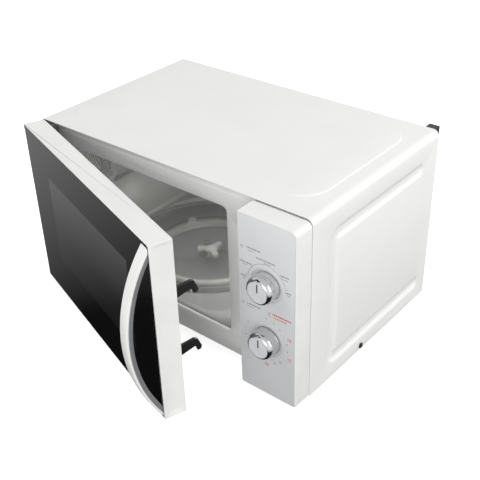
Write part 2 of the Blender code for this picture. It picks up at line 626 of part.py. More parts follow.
def make_transformer(root):
    """E-and-I core with two windows, and two coils that fill the windows round the middle limb."""
    x0, x1, y0, y1, z0, z1 = core_place()
    core = piece("transformer_core", box(x0, x1, y0, y1, z0, z1), "lamination")
    middle = (x0 + x1) / 2
    windows = ((x0 + CORE_LIMB, middle - CORE_LIMB), (middle + CORE_LIMB, x1 - CORE_LIMB))
    low, high = z0 + CORE_LIMB, z1 - CORE_LIMB
    for left, right in windows:
        cut(core, box(left, right, y0 - OVERSHOOT, y1 + OVERSHOOT, low, high))
    join(core, box(x0 - 0.006, x1 + 0.006, y0 + 0.012, y1 - 0.012, z0, z0 + 0.002))
    hang(root, core)

    limb = (middle - CORE_LIMB, middle + CORE_LIMB, y0, y1)
    thickness = windows[0][1] - windows[0][0] - 2 * GAP
    split = low + (high - low) * 0.45
    coils = (("primary_winding", low + GAP, split - 0.002), ("secondary_winding", split + 0.002, high - GAP))
    for name, bottom, top in coils:
        outer = rounded_rect(*grow(limb, thickness + GAP), 0.006, 4)
        coil = piece(name, prism(outer, "Z", bottom, top), "copper_winding")
        cut(coil, box(*grow(limb, GAP), bottom - OVERSHOOT, top + OVERSHOOT))
        hang(root, coil)
    return y1 + thickness + GAP


def make_capacitor(root, coil_back):
    """Oval oil capacitor lying across the bay, held down by a steel strap."""
    x0 = BAY_LEFT + CAPACITOR_LEFT_ROOM
    y = coil_back + 0.004 + CAPACITOR_HALF_Y
    z = FLOOR + 0.004 + CAPACITOR_HALF_Z
    can = rounded_rect(y - CAPACITOR_HALF_Y, y + CAPACITOR_HALF_Y, z - CAPACITOR_HALF_Z,
                       z + CAPACITOR_HALF_Z, CAPACITOR_HALF_Y * 0.95, 5)
    capacitor = piece("capacitor", prism(can, "X", x0, x0 + CAPACITOR_LENGTH), "bright_steel")
    for offset in (-0.006, 0.006):
        tab = box(x0 + CAPACITOR_LENGTH - 0.001, x0 + CAPACITOR_LENGTH + 0.008, y - 0.003, y + 0.003,
                  z + offset - 0.0006, z + offset + 0.0006)
        join(capacitor, tab)
    hang(root, capacitor)

    middle = x0 + CAPACITOR_LENGTH / 2
    outline = rounded_rect(y - CAPACITOR_HALF_Y - FIT, y + CAPACITOR_HALF_Y + FIT, FLOOR + GAP,
                           z + CAPACITOR_HALF_Z + FIT, CAPACITOR_HALF_Y * 0.95, 5)
    strap = piece("capacitor_clamp", prism(outline, "X", middle - 0.006, middle + 0.006), "galvanised")
    join(strap, box(middle - 0.006, middle + 0.006, y - 0.010, y + 0.010, FLOOR + GAP, FLOOR + GAP + SHEET))
    bore = rounded_rect(y - CAPACITOR_HALF_Y - GAP, y + CAPACITOR_HALF_Y + GAP, z - CAPACITOR_HALF_Z - GAP,
                        z + CAPACITOR_HALF_Z + GAP, CAPACITOR_HALF_Y * 0.95, 5)
    cut(strap, prism(bore, "X", middle - 0.010, middle + 0.010))
    hang(root, strap)


def make_hv_diode(root, coil_back):
    """High-voltage diode on a tab screwed to the base plate, beside the capacitor."""
    x0 = BAY_RIGHT - 0.012
    y = coil_back + 0.020
    z = FLOOR + GAP
    diode = piece("hv_diode", box(x0 - 0.004, x0 + 0.004, y - 0.012, y + 0.012, z, z + 0.0012), "galvanised")
    join(diode, rod("Z", (x0, y + 0.004), 0.0035, z + 0.001, z + 0.022, 12))
    hang(root, diode)


def make_fan(root):
    """Shroud plate with a collar, shaded-pole motor behind it, and the blade that turns in the collar."""
    y0, y1 = SHROUD, SHROUD + 0.0015
    low, high = FAN_Z - FAN_RADIUS - 0.012, FAN_Z + FAN_RADIUS + 0.012
    left, right = BAY_LEFT, BAY_RIGHT
    spot = (FAN_X, FAN_Z)
    shroud = piece("fan_shroud", box(left, right, y0, y1, low, high), "grey_plastic")
    join(shroud, rod("Y", spot, FAN_RADIUS + 0.005, y0, y0 + 0.020, 36))
    cut(shroud, rod("Y", spot, FAN_RADIUS + 0.003, y0 - OVERSHOOT, y0 + 0.024, 36))
    leg = box(left + 0.004, right - 0.004, y0, y1, FLOOR + GAP, low + 0.001)
    window = box(left + 0.012, right - 0.012, y0 - OVERSHOOT, y1 + OVERSHOOT, FLOOR + 0.012, low - 0.010)
    join(shroud, leg)
    cut(shroud, window)
    for side in (-1, 1):
        x = FAN_X + side * (FAN_RADIUS + 0.004)
        post = box(x - 0.0015, x + 0.0015, y0 + 0.001, FAN_MOTOR_BACK, FAN_Z - 0.006, FAN_Z + 0.006)
        join(shroud, post)
    hang(root, shroud)

    motor = piece("fan_motor", box(FAN_X - 0.030, FAN_X + 0.030, FAN_MOTOR_FRONT, FAN_MOTOR_BACK,
                                   FAN_Z - 0.020, FAN_Z + 0.020), "lamination")
    arm = FAN_RADIUS + 0.004 - 0.0015 - GAP
    join(motor, box(FAN_X - arm, FAN_X + arm, FAN_MOTOR_BACK - 0.004, FAN_MOTOR_BACK - 0.002,
                    FAN_Z - 0.005, FAN_Z + 0.005))
    join(motor, box(FAN_X - 0.016, FAN_X + 0.016, FAN_MOTOR_FRONT + 0.001, FAN_MOTOR_BACK - 0.001,
                    FAN_Z - 0.034, FAN_Z - 0.019))
    cut(motor, rod("Y", spot, 0.0026, FAN_MOTOR_FRONT - OVERSHOOT, FAN_MOTOR_FRONT + 0.012, 16))
    hang(root, motor)

    hub_front, hub_back = y0 + 0.003, y0 + 0.017
    blade = piece("fan_blade", rod("Y", spot, 0.011, hub_front, hub_back, 20), "white_plastic")
    join(blade, rod("Y", spot, 0.0020, hub_back - 0.001, FAN_MOTOR_FRONT + 0.010, 12))
    for i in range(5):
        join(blade, fan_wing(math.tau * i / 5, hub_front + 0.001, hub_back - 0.001))
    hang(root, smooth(blade, 30), (FAN_X, (hub_front + hub_back) / 2, FAN_Z))


def fan_wing(angle, front, back):
    """One pitched blade: a skewed slab from inside the hub to the tip."""
    bm = bmesh.new()
    thick = 0.0012
    sweep = 0.42
    loops = []
    for radius, turn in ((0.009, 0.20), (0.030, sweep), (FAN_RADIUS, sweep)):
        section = ((angle - turn, front), (angle + turn, back - thick), (angle + turn, back),
                   (angle - turn, front + thick))
        loops.append([bm.verts.new((FAN_X + radius * math.cos(a), y, FAN_Z + radius * math.sin(a)))
                      for a, y in section])
    for lower, upper in zip(loops, loops[1:]):
        for i in range(4):
            j = (i + 1) % 4
            bm.faces.new((lower[i], lower[j], upper[j], upper[i]))
    bm.faces.new(loops[0])
    bm.faces.new(loops[-1])
    return to_mesh(bm)


def make_air_duct(root):
    """Plastic duct that carries the magnetron's cooling air to the cavity's right wall."""
    front, back = BRACKET_BACK + 0.009, GUIDE_FRONT - GAP
    low, high = TUBE_Z - TUBE_HALF_Z, TUBE_Z + TUBE_HALF_Z
    left, right = BAY_LEFT, TUBE_RIGHT
    wall = 0.0015
    duct = piece("air_duct", box(left, right, front, back, low, high), "grey_plastic")
    cut(duct, box(left - OVERSHOOT, right - wall, front + wall, back + OVERSHOOT, low + wall, high - wall))
    hang(root, duct)


def make_oven_lamp(root):
    """Lamp with its ceramic socket, held high behind the cavity's right wall."""
    centre = (BAY_LEFT + 0.001, *LAMP_SPOT)
    profile = [(0, 0), (0.005, 0.0015), (LAMP_RADIUS, 0.007), (0.0075, 0.013), (0.006, 0.018), (0.006, 0.020),
               (LAMP_RADIUS, 0.020), (LAMP_RADIUS, 0.032), (0.003, 0.032), (0.003, LAMP_REACH), (0, LAMP_REACH)]
    hang(root, smooth(piece("oven_lamp", turned(profile, centre, "X", 18), "clear_glass")))


def make_filter_board(root):
    """Mains filter: a circuit board with a choke and a fuse, above the fan."""
    z = FAN_Z + FAN_RADIUS + 0.020
    x0, y0 = BAY_LEFT + 0.040, SHROUD + 0.010
    board = piece("filter_board", box(x0, x0 + 0.050, y0, y0 + 0.036, z, z + 0.0016), "circuit_board")
    join(board, rod("Z", (x0 + 0.014, y0 + 0.016), 0.010, z + 0.001, z + 0.010, 16))
    join(board, box(x0 + 0.030, x0 + 0.045, y0 + 0.004, y0 + 0.012, z + 0.001, z + 0.009))
    hang(root, board)


# ---------------------------------------------------------------- turntable
def make_turntable_motor(root):
    """Flat geared motor under the pan, with two fixing ears."""
    top = PAN_FLOOR - SHEET - GAP
    motor = piece("turntable_motor", rod("Z", (TURN_X, TURN_Y), MOTOR_RADIUS, top - MOTOR_HEIGHT, top, 32),
                  "galvanised")
    ears = box(TURN_X - MOTOR_RADIUS - 0.010, TURN_X + MOTOR_RADIUS + 0.010, TURN_Y - 0.005, TURN_Y + 0.005,
               top - 0.0012, top)
    join(motor, ears)
    bore = COUPLER_SHAFT + GAP
    cut(motor, rod("Z", (TURN_X, TURN_Y), bore, top - 0.008, top + OVERSHOOT, 16))
    hang(root, smooth(motor))


def make_coupler(spindle):
    """Three-armed drive piece on the motor's shaft; the arms push the lugs under the tray."""
    low = PAN_FLOOR + 0.0015
    high = TRAY_BOTTOM - GAP
    centre = (TURN_X, TURN_Y)
    coupler = piece("turntable_coupler", rod("Z", centre, 0.0085, low, high, 24), "white_plastic")
    join(coupler, rod("Z", centre, COUPLER_SHAFT, PAN_FLOOR - SHEET - 0.006, low + 0.001, 16))
    for i in range(3):
        angle = math.tau * i / 3 + math.pi / 2
        join(coupler, arm_block(angle, 0.004, COUPLER_REACH, 0.004, high - 0.006, high))
    hang(spindle, smooth(coupler, 30), (*centre, low))


def arm_block(angle, start, end, half_width, low, high):
    """Bar that points away from the turntable's axis at an angle."""
    along = Vector((math.cos(angle), math.sin(angle)))
    across = Vector((-along.y, along.x)) * half_width
    centre = Vector((TURN_X, TURN_Y))
    corners = (centre + along * start - across, centre + along * end - across,
               centre + along * end + across, centre + along * start + across)
    return prism([tuple(corner) for corner in corners], "Z", low, high)


def make_tray(spindle):
    """Turned glass tray: flat base, sloping rim, and three lugs that sit between the coupler's arms."""
    base, glass = TRAY_BASE_RADIUS, TRAY_GLASS
    rise = TRAY_RIM_RISE
    profile = [(0, 0), (base, 0), (base + 0.012, 0.0035), (TRAY_RADIUS - 0.002, rise - glass),
               (TRAY_RADIUS, rise - glass + 0.001), (TRAY_RADIUS, rise - 0.001), (TRAY_RADIUS - 0.002, rise),
               (base + 0.012, glass + 0.0035), (base - 0.001, glass), (0, glass)]
    tray = piece("glass_tray", turned(profile, (TURN_X, TURN_Y, TRAY_BOTTOM), "Z", 48), "clear_glass")
    for i in range(3):
        angle = math.tau * (i + 0.5) / 3 + math.pi / 2
        lug = arm_block(angle, 0.0125, COUPLER_REACH + 0.002, 0.004, TRAY_BOTTOM - 0.004, TRAY_BOTTOM + 0.001)
        join(tray, lug)
    hang(spindle, smooth(tray), (TURN_X, TURN_Y, TRAY_BOTTOM))


def make_roller_ring(carrier):
    """Plastic ring with three stub axles, each carrying a wheel that runs between pan and tray."""
    inner, outer = TRACK_RADIUS - 0.012, TRACK_RADIUS - 0.006
    centre = (TURN_X, TURN_Y)
    low, high = WHEEL_AXIS - 0.004, WHEEL_AXIS + 0.0035
    ring = piece("roller_ring", rod("Z", centre, outer, low, high, 48), "white_plastic")
    cut(ring, rod("Z", centre, inner, low - OVERSHOOT, high + OVERSHOOT, 48))
    for i in range(ROLLER_COUNT):
        angle = roller_angle(i)
        stub = arm_block(angle, inner + 0.002, TRACK_RADIUS + WHEEL_WIDTH / 2, AXLE_HALF, WHEEL_AXIS - AXLE_HALF,
                         WHEEL_AXIS + AXLE_HALF)
        join(ring, stub)
    hang(carrier, ring, (*centre, WHEEL_AXIS))

    half = WHEEL_WIDTH / 2
    bore = AXLE_HALF * math.sqrt(2) + GAP
    profile = arc((0, 0), WHEEL_RADIUS, 0, 345, 23)
    wheel_mesh = prism(profile, "X", -half, half)
    wheel = piece("roller_wheel_1", wheel_mesh, "white_plastic")
    cut(wheel, rod("X", (0, 0), bore, -half - OVERSHOOT, half + OVERSHOOT, 16))
    wheels = [wheel]
    for i in range(1, ROLLER_COUNT):
        wheels.append(piece(f"roller_wheel_{i + 1}", wheel.data.copy(), "white_plastic"))
    for i, ob in enumerate(wheels):
        angle = roller_angle(i)
        hang(carrier, smooth(ob), (0, 0, 0))
        ob.location = (TRACK_RADIUS * math.cos(angle), TRACK_RADIUS * math.sin(angle), 0)
        ob.rotation_euler = (0, 0, angle)


def roller_angle(i):
    return math.tau * i / ROLLER_COUNT - math.pi / 2


# ---------------------------------------------------------------- door
def door_outline(inset=0.0):
    """Plan of the door frame; the corner beside the hinge is bevelled to clear the cabinet."""
    bevel = 0.004
    left, right = DOOR_LEFT + inset, DOOR_RIGHT - inset
    return [(left, DOOR_FRONT), (right, DOOR_FRONT), (right, DOOR_BACK), (left + bevel, DOOR_BACK),
            (left, DOOR_BACK - bevel)]


def window_rect():
    """The door's window as x0, x1, z0, z1."""
    return (DOOR_LEFT + WINDOW_SIDE, DOOR_RIGHT - WINDOW_RIGHT, DOOR_BOTTOM + WINDOW_BOTTOM,
            DOOR_TOP - WINDOW_TOP)


def make_door_frame(door):
    """White moulding: outer walls, a web behind the glass with the window in it, and hinge blocks."""
    frame = piece("door_frame", prism(door_outline(), "Z", DOOR_BOTTOM, DOOR_TOP), "white_plastic")
    lip, wall = DOOR_LIP, PLASTIC_WALL
    cut(frame, box(DOOR_LEFT + lip, DOOR_RIGHT - lip, DOOR_FRONT - OVERSHOOT, GLASS_BACK + GAP,
                   DOOR_BOTTOM + lip, DOOR_TOP - lip))
    pocket = (DOOR_LEFT + wall, DOOR_RIGHT - wall, WEB_BACK, DOOR_BACK + OVERSHOOT)
    cut(frame, box(*pocket, DOOR_BOTTOM + wall, DOOR_TOP - wall))
    x0, x1, z0, z1 = window_rect()
    cut(frame, box(x0, x1, DOOR_FRONT, WEB_BACK + OVERSHOOT, z0, z1))
    for sign, edge in ((1, DOOR_BOTTOM + wall), (-1, DOOR_TOP - wall)):
        near, far = edge + sign * TONGUE_ROOM, edge + sign * (TONGUE_ROOM + 0.018)
        block = box(DOOR_LEFT + wall / 2, HINGE_X + 0.009, WEB_BACK - wall / 2, HINGE_Y + 0.008,
                    min(near, far), max(near, far))
        join(frame, block)
        bore = HINGE_PIN_RADIUS + GAP
        low, high = min(near, far) - OVERSHOOT, max(near, far) + OVERSHOOT
        cut(frame, rod("Z", (HINGE_X, HINGE_Y), bore, low, high, 16))
        notch = (DOOR_LEFT - OVERSHOOT, DOOR_LEFT + wall + OVERSHOOT, HINGE_Y - 0.0085, DOOR_BACK + OVERSHOOT)
        cut(frame, box(*notch, min(edge, near), max(edge, near)))
    for offset in (-1, 1):
        z = LATCH_MIDDLE + offset * (LATCH_SPACING / 2 - 0.012)
        guide = box(LATCH_X + LATCH_THICKNESS / 2 + GAP, DOOR_RIGHT - wall / 2, WEB_BACK + 0.002,
                    DOOR_BACK - 0.006, z - 0.005, z + 0.005)
        join(frame, guide)
    hang(door, frame)


def make_door_glass(door):
    """Tinted glass that covers the whole front of the door."""
    edge = DOOR_LIP + GAP
    glass = box(DOOR_LEFT + edge, DOOR_RIGHT - edge, DOOR_FRONT, GLASS_BACK, DOOR_BOTTOM + edge,
                DOOR_TOP - edge)
    hang(door, piece("door_glass", glass, "dark_glass"))


def make_door_screen(door):
    """Pressed steel tray behind the window: its mesh field keeps microwaves in, its rim is the choke."""
    x0, x1 = HINGE_X + 0.012, LATCH_X - 0.010
    z0, z1 = DOOR_BOTTOM + 0.012, DOOR_TOP - 0.012
    front, back = (WEB_BACK + DOOR_BACK) / 2, DOOR_BACK - 0.0025
    screen = piece("door_screen", box(x0, x1, front, back, z0, z1), "cavity_paint")
    cut(screen, box(x0 + SHEET, x1 - SHEET, front + SHEET, back + OVERSHOOT, z0 + SHEET, z1 - SHEET))
    x2, x3, z2, z3 = window_rect()
    field = (x2 + 0.004, x3 - 0.004, front - OVERSHOOT, front + 0.0004, z2 + 0.004, z3 - 0.004)
    cut(screen, box(*field))
    hang(door, screen)


def make_door_inner_cover(door):
    """Plastic ring over the choke, with the slots that the latch hooks come out of."""
    wall = PLASTIC_WALL + GAP
    back = DOOR_BACK - GAP
    front = back - 0.0019
    x0, x1 = HINGE_X + 0.023, DOOR_RIGHT - wall
    z0, z1 = DOOR_BOTTOM + wall, DOOR_TOP - wall
    cover = piece("door_inner_cover", box(x0, x1, front, back, z0, z1), "grey_plastic")
    x2, x3, z2, z3 = window_rect()
    cut(cover, box(x2 - 0.010, x3 + 0.010, front - OVERSHOOT, back + OVERSHOOT, z2 - 0.010, z3 + 0.010))
    for z in HOOK_HEIGHTS:
        low, high = z - HOOK_HALF_HEIGHT - 0.001, z + HOOK_HALF_HEIGHT + LATCH_TRAVEL + 0.001
        cut(cover, box(LATCH_X - LATCH_THICKNESS / 2 - 0.001, LATCH_X + LATCH_THICKNESS / 2 + 0.001,
                       front - OVERSHOOT, back + OVERSHOOT, low, high))
    hang(door, cover)


def hook_outline(z):
    """The part of one hook that leaves the door, as (y, z) points from its lower root."""
    half, rise = HOOK_HALF_HEIGHT, HOOK_RISE
    root, tip = LATCH_ROOT, LATCH_REACH
    lower = [(root, z - half), (root + 0.014, z - half + 0.001), (tip - 0.010, z - half + 0.0065),
             (tip - 0.007, z - half + 0.0065), (tip - 0.0055, z - half - 0.0005), (tip - 0.0015, z - half)]
    upper = [(tip, z - half + 0.004), (tip - 0.005, z + half + rise - 0.001), (tip - 0.008, z + half + rise),
             (root + 0.012, z + half), (root, z + half)]
    return lower + upper


def make_latch_strip(slide):
    """Black moulding with two hooks: they catch behind the front plate when the door shuts."""
    high, low = HOOK_HEIGHTS
    half = HOOK_HALF_HEIGHT
    outline = [(LATCH_FRONT, low - half), *hook_outline(low), *hook_outline(high), (LATCH_FRONT, high + half)]
    left, right = LATCH_X - LATCH_THICKNESS / 2, LATCH_X + LATCH_THICKNESS / 2
    strip = piece("latch_strip", prism(outline, "X", left, right), "black_plastic")
    hang(slide, strip)


def make_latch_spring(door):
    """Coil spring below the latch strip that pulls the hooks down."""
    coils, pitch, wire = 7, 0.0026, 0.0004
    top = HOOK_HEIGHTS[1] - HOOK_HALF_HEIGHT - 0.0015
    centre = Vector((LATCH_X, (LATCH_FRONT + LATCH_ROOT) / 2, top - wire - coils * pitch))
    curve = bpy.data.curves.new("latch_spring", "CURVE")
    curve.dimensions = "3D"
    curve.bevel_depth = wire
    curve.bevel_resolution = 1
    curve.use_fill_caps = True
    spline = curve.splines.new("POLY")
    steps = coils * 10
    spline.points.add(steps)
    for i, point in enumerate(spline.points):
        angle = math.tau * i / 10
        place = centre + Vector((0.0028 * math.cos(angle), 0.0028 * math.sin(angle), pitch * i / 10))
        point.co = (*place, 1)
    coil = bpy.data.objects.new("spring_curve", curve)
    bpy.context.scene.collection.objects.link(coil)
    evaluated = coil.evaluated_get(bpy.context.evaluated_depsgraph_get())
    mesh = bpy.data.meshes.new_from_object(evaluated)
    bpy.data.objects.remove(coil)
    hang(door, smooth(piece("latch_spring", mesh, "bright_steel")))


def make_door_handle(door):
    """Bow handle: a band bent to an arc, flat where it meets the glass at both ends."""
    high, low = DOOR_TOP - HANDLE_MARGIN, DOOR_BOTTOM + HANDLE_MARGIN
    half_chord = (high - low) / 2
    radius = (half_chord ** 2 + HANDLE_BOW ** 2) / (2 * HANDLE_BOW)
    middle = (high + low) / 2
    seat = DOOR_FRONT - GAP
    centre_y = seat - HANDLE_BOW + radius
    inner = radius - HANDLE_THICKNESS
    outer_turn = math.degrees(math.asin(half_chord / radius))
    inner_turn = math.degrees(math.acos((centre_y - seat) / inner))
    outline = arc((centre_y, middle), radius, 180 - outer_turn, 180 + outer_turn, 24)
    outline += arc((centre_y, middle), inner, 180 + inner_turn, 180 - inner_turn, 24)
    right = DOOR_RIGHT - 0.002
    handle = piece("door_handle", prism(outline, "X", right - HANDLE_WIDTH, right), "white_plastic")
    hang(door, smooth(handle, 30))


def make_hinges(root):
    """Two steel hinge plates on the front plate, each with a tongue into the door and a pin."""
    wall = PLASTIC_WALL
    for name, edge, sign in (("upper", DOOR_TOP - wall, -1), ("lower", DOOR_BOTTOM + wall, 1)):
        near, far = edge + sign * 0.001, edge + sign * (0.001 + HINGE_PLATE)
        face = PLATE_RECESS - GAP
        tongue = [(HINGE_X - 0.0065, HINGE_Y), (HINGE_X - 0.0065, face), (HINGE_X + 0.0065, face),
                  (HINGE_X + 0.0065, HINGE_Y)]
        tongue += arc((HINGE_X, HINGE_Y), 0.0065, 0, -180, 8)[1:-1]
        plate = piece("hinge_" + name, prism(tongue, "Z", min(near, far), max(near, far)), "galvanised")
        foot_end = near + sign * 0.026
        foot = box(HINGE_X - 0.0065, HINGE_X + 0.012, face - HINGE_PLATE, face, min(near, foot_end),
                   max(near, foot_end))
        join(plate, foot)
        pin_end = far + sign * PIN_LENGTH
        start = (near + far) / 2
        pin = rod("Z", (HINGE_X, HINGE_Y), HINGE_PIN_RADIUS, min(start, pin_end), max(start, pin_end), 16)
        join(plate, pin)
        hang(root, plate)


# ---------------------------------------------------------------- control panel
def make_control_panel(root):
    """White moulding open at the back; its rear part steps in to pass inside the cover."""
    front_radius = CORNER_RADIUS - PANEL_DROP / 2
    face = rounded_rect(PANEL_LEFT, RIGHT, PANEL_BOTTOM, PANEL_TOP, (0, 0, front_radius, 0), 5)
    panel = piece("control_panel", prism(face, "Y", DOOR_FRONT, -GAP), "white_plastic")
    inner_top = (0, 0, front_radius - FIT, 0)
    rear = rounded_rect(PANEL_LEFT, RIGHT - FIT, PANEL_BOTTOM + GAP, PANEL_TOP - GAP, inner_top, 5)
    join(panel, prism(rear, "Y", -SHEET, PLATE_RECESS - GAP))
    wall = PLASTIC_WALL
    hollow = rounded_rect(PANEL_LEFT + wall, RIGHT - FIT - wall, PANEL_BOTTOM + wall, PANEL_TOP - wall,
                          (0, 0, front_radius - wall, 0), 4)
    cut(panel, prism(hollow, "Y", DOOR_FRONT + wall + FASCIA_THICKNESS, PLATE_RECESS + OVERSHOOT))
    cut(panel, prism(fascia_outline(GAP), "Y", DOOR_FRONT - OVERSHOOT, DOOR_FRONT + FASCIA_THICKNESS + GAP))
    for z in (POWER_Z, TIMER_Z):
        cut(panel, rod("Y", (DIAL_X, z), SHAFT_RADIUS + 0.0012, DOOR_FRONT - OVERSHOOT,
                       DOOR_FRONT + wall + OVERSHOOT, 16))
    hang(root, panel)


def fascia_outline(grow_by):
    edge = 0.0011 - grow_by
    radius = CORNER_RADIUS - PANEL_DROP / 2 - edge
    return rounded_rect(PANEL_LEFT + edge, RIGHT - edge, PANEL_BOTTOM + edge, PANEL_TOP - edge,
                        (0, 0, radius, 0), 5)


def make_control_fascia(root):
    """Silver printed face of the panel, with a shallow round dish pressed round each dial."""
    fascia = piece("control_fascia", prism(fascia_outline(0), "Y", DOOR_FRONT, DOOR_FRONT + FASCIA_THICKNESS),
                   "silver_film")
    for z in (POWER_Z, TIMER_Z):
        spot = (DIAL_X, z)
        cut(fascia, rod("Y", spot, DISH_RADIUS, DOOR_FRONT - OVERSHOOT, DOOR_FRONT + GAP, 40))
        cut(fascia, rod("Y", spot, SHAFT_RADIUS + 0.0012, DOOR_FRONT - OVERSHOOT, DOOR_FRONT + OVERSHOOT, 16))
    hang(root, fascia)


def timer_unit_box(grow_by):
    """Front view of the timer unit as x0, x1, z0, z1."""
    return grow((DIAL_X - 0.028, DIAL_X + 0.028, TIMER_Z - 0.026, POWER_Z + 0.026), grow_by)


def make_timer_unit(root):
    """Mechanical timer and power switch in one case, with the timer's small motor on its back."""
    x0, x1, z0, z1 = timer_unit_box(0)
    front, back = TIMER_UNIT_FRONT, TIMER_UNIT_BACK
    unit = piece("timer_unit", box(x0, x1, front, back, z0, z1), "cream_plastic")
    for z in (POWER_Z, TIMER_Z):
        cut(unit, rod("Y", (DIAL_X, z), SHAFT_RADIUS + GAP, front - OVERSHOOT, front + SHAFT_SEAT + GAP, 16))
    hang(root, unit)
    motor = rod("Y", (DIAL_X, POWER_Z - 0.005), 0.020, back + GAP, back + 0.010, 24)
    hang(root, smooth(piece("timer_motor", motor, "galvanised")))


def make_dials(power, timer):
    """Each dial is a turned knob on a steel shaft that runs through the panel into the timer unit."""
    back = DOOR_FRONT - GAP
    radius, depth = KNOB_RADIUS, KNOB_DEPTH
    for name, spindle, z in (("power", power, POWER_Z), ("timer", timer, TIMER_Z)):
        centre = (DIAL_X, 0, z)
        profile = [(0, back), (radius + 0.0008, back), (radius + 0.0008, back - 0.0012),
                   (radius, back - depth + 0.0015), (radius - 0.0012, back - depth),
                   (0, back - depth)]
        knob = piece(name + "_knob", turned(profile, centre, "Y", 40), "knob_silver")
        seat = back - 0.011
        cut(knob, rod("Y", (DIAL_X, z), SHAFT_RADIUS + GAP, seat - GAP, back + OVERSHOOT, 16))
        hang(spindle, smooth(knob), (DIAL_X, back, z))
        shaft = rod("Y", (DIAL_X, z), SHAFT_RADIUS, seat, TIMER_UNIT_FRONT + SHAFT_SEAT, 16)
        hang(spindle, smooth(piece(name + "_shaft", shaft, "bright_steel")), (DIAL_X, TIMER_UNIT_FRONT, z))


# ---------------------------------------------------------------- door interlock
def switch_places():
    """Name, left face and middle height of each microswitch."""
    left = LATCH_X - SWITCH_WIDTH / 2
    upper, lower = HOOK_HEIGHTS
    return (("primary", left, upper - 0.003), ("secondary", left, lower - 0.003),
            ("monitor", left, (upper + lower) / 2 - 0.003))


def make_interlock_bracket(root):
    """Plastic bracket behind the latch slots: a slotted front flange, a side wall and switch shelves."""
    high, low = HOOK_HEIGHTS[0] + 0.026, HOOK_HEIGHTS[1] - 0.022
    front = PLATE_BACK + GAP
    wall = 0.002
    side = LATCH_X + LATCH_THICKNESS / 2 + 0.0055
    bracket = piece("interlock_bracket", box(side, side + wall, front, BRACKET_BACK, low, high),
                    "cream_plastic")
    join(bracket, box(LATCH_X - 0.012, side + wall, front, front + wall, low, high))
    for z in HOOK_HEIGHTS:
        cut(bracket, slot_at(z, front - OVERSHOOT, front + wall + OVERSHOOT))
    for name, left, z in switch_places():
        for sign in (-1, 1):
            edge = z + sign * (SWITCH_HALF_LENGTH + GAP)
            shelf = box(left, side + wall / 2, SWITCH_FRONT, BRACKET_BACK, min(edge, edge + sign * 0.0015),
                        max(edge, edge + sign * 0.0015))
            join(bracket, shelf)
    lamp_room = rod("X", LAMP_SPOT, LAMP_RADIUS + LAMP_ROOM, BAY_LEFT, BAY_LEFT + 2 * LAMP_ROOM + LAMP_REACH)
    cut(bracket, lamp_room)
    hang(root, bracket)


def make_switches(root, slides):
    """Three microswitches, each with a plunger facing the hooks."""
    front, back = SWITCH_FRONT, BRACKET_BACK
    for (name, left, z), slide in zip(switch_places(), slides):
        body = box(left, left + SWITCH_WIDTH, front, back, z - SWITCH_HALF_LENGTH, z + SWITCH_HALF_LENGTH)
        switch = piece(name + "_switch", body, "black_plastic")
        spot = (LATCH_X, z + 0.003)
        cut(switch, rod("Y", spot, PLUNGER_RADIUS + GAP, front - OVERSHOOT, front + 0.006, 12))
        for offset in (-0.009, 0.009):
            terminal = box(LATCH_X - 0.003, LATCH_X + 0.003, back - 0.001, back + 0.007, z + offset - 0.0004,
                           z + offset + 0.0004)
            join(switch, terminal)
        hang(root, switch)
        tip = front - 0.0022
        plunger = rod("Y", spot, PLUNGER_RADIUS, tip, front + 0.0035, 12)
        hang(slide, smooth(piece(name + "_plunger", plunger, "cream_plastic")), (LATCH_X, tip, spot[1]))


# ---------------------------------------------------------------- assembly
def clear_scene():
    for ob in list(bpy.data.objects):
        bpy.data.objects.remove(ob)


def lowest_and_highest():
    """Corners of the box round every mesh object as it stands."""
    bpy.context.view_layer.update()
    spots = [ob.matrix_world @ vertex.co for ob in bpy.data.objects if ob.type == "MESH"
             for vertex in ob.data.vertices]
    low = Vector(min(spot[i] for spot in spots) for i in range(3))
    high = Vector(max(spot[i] for spot in spots) for i in range(3))
    return low, high


def main():
    clear_scene()
    root = pivot("oven", (0, 0, 0))
    door = pivot("door_pivot", (HINGE_X, HINGE_Y, DOOR_BOTTOM), root)
    slide = pivot("latch_slide", (LATCH_X, LATCH_FRONT, LATCH_MIDDLE), door)
    spindle = pivot("turntable_axis", (TURN_X, TURN_Y, PAN_FLOOR), root)
    carrier = pivot("roller_axis", (TURN_X, TURN_Y, WHEEL_AXIS), root)
    power = pivot("power_axis", (DIAL_X, DOOR_FRONT, POWER_Z), root)
    timer = pivot("timer_axis", (DIAL_X, DOOR_FRONT, TIMER_Z), root)
    slides = [pivot(name + "_slide", (LATCH_X, SWITCH_FRONT, z), root)
              for name, _, z in switch_places()]

    make_outer_cover(root)
    make_cover_screw(root)
    make_base_plate(root)
    make_feet(root)
    make_rear_panel(root)
    make_cord_gland(root)
    make_rear_spacers(root)
    make_front_plate(root)
    make_cavity(root)
    make_waveguide_cover(root)

    make_waveguide(root)
    make_magnetron(root)
    make_magnetron_thermostat(root)
    coil_back = make_transformer(root)
    make_capacitor(root, coil_back)
    make_hv_diode(root, coil_back)
    make_fan(root)
    make_air_duct(root)
    make_oven_lamp(root)
    make_filter_board(root)

    make_turntable_motor(root)
    make_coupler(spindle)
    make_tray(spindle)
    make_roller_ring(carrier)

    make_door_frame(door)
    make_door_glass(door)
    make_door_screen(door)
    make_door_inner_cover(door)
    make_latch_strip(slide)
    make_latch_spring(door)
    make_door_handle(door)
    make_hinges(root)

    make_control_panel(root)
    make_control_fascia(root)
    make_timer_unit(root)
    make_dials(power, timer)
    make_interlock_bracket(root)
    make_switches(root, slides)

    door.rotation_euler = (0, 0, -DOOR_AJAR)
    low, high = lowest_and_highest()
    root.location = (-(low.x + high.x) / 2, -(low.y + high.y) / 2, -low.z)


main()
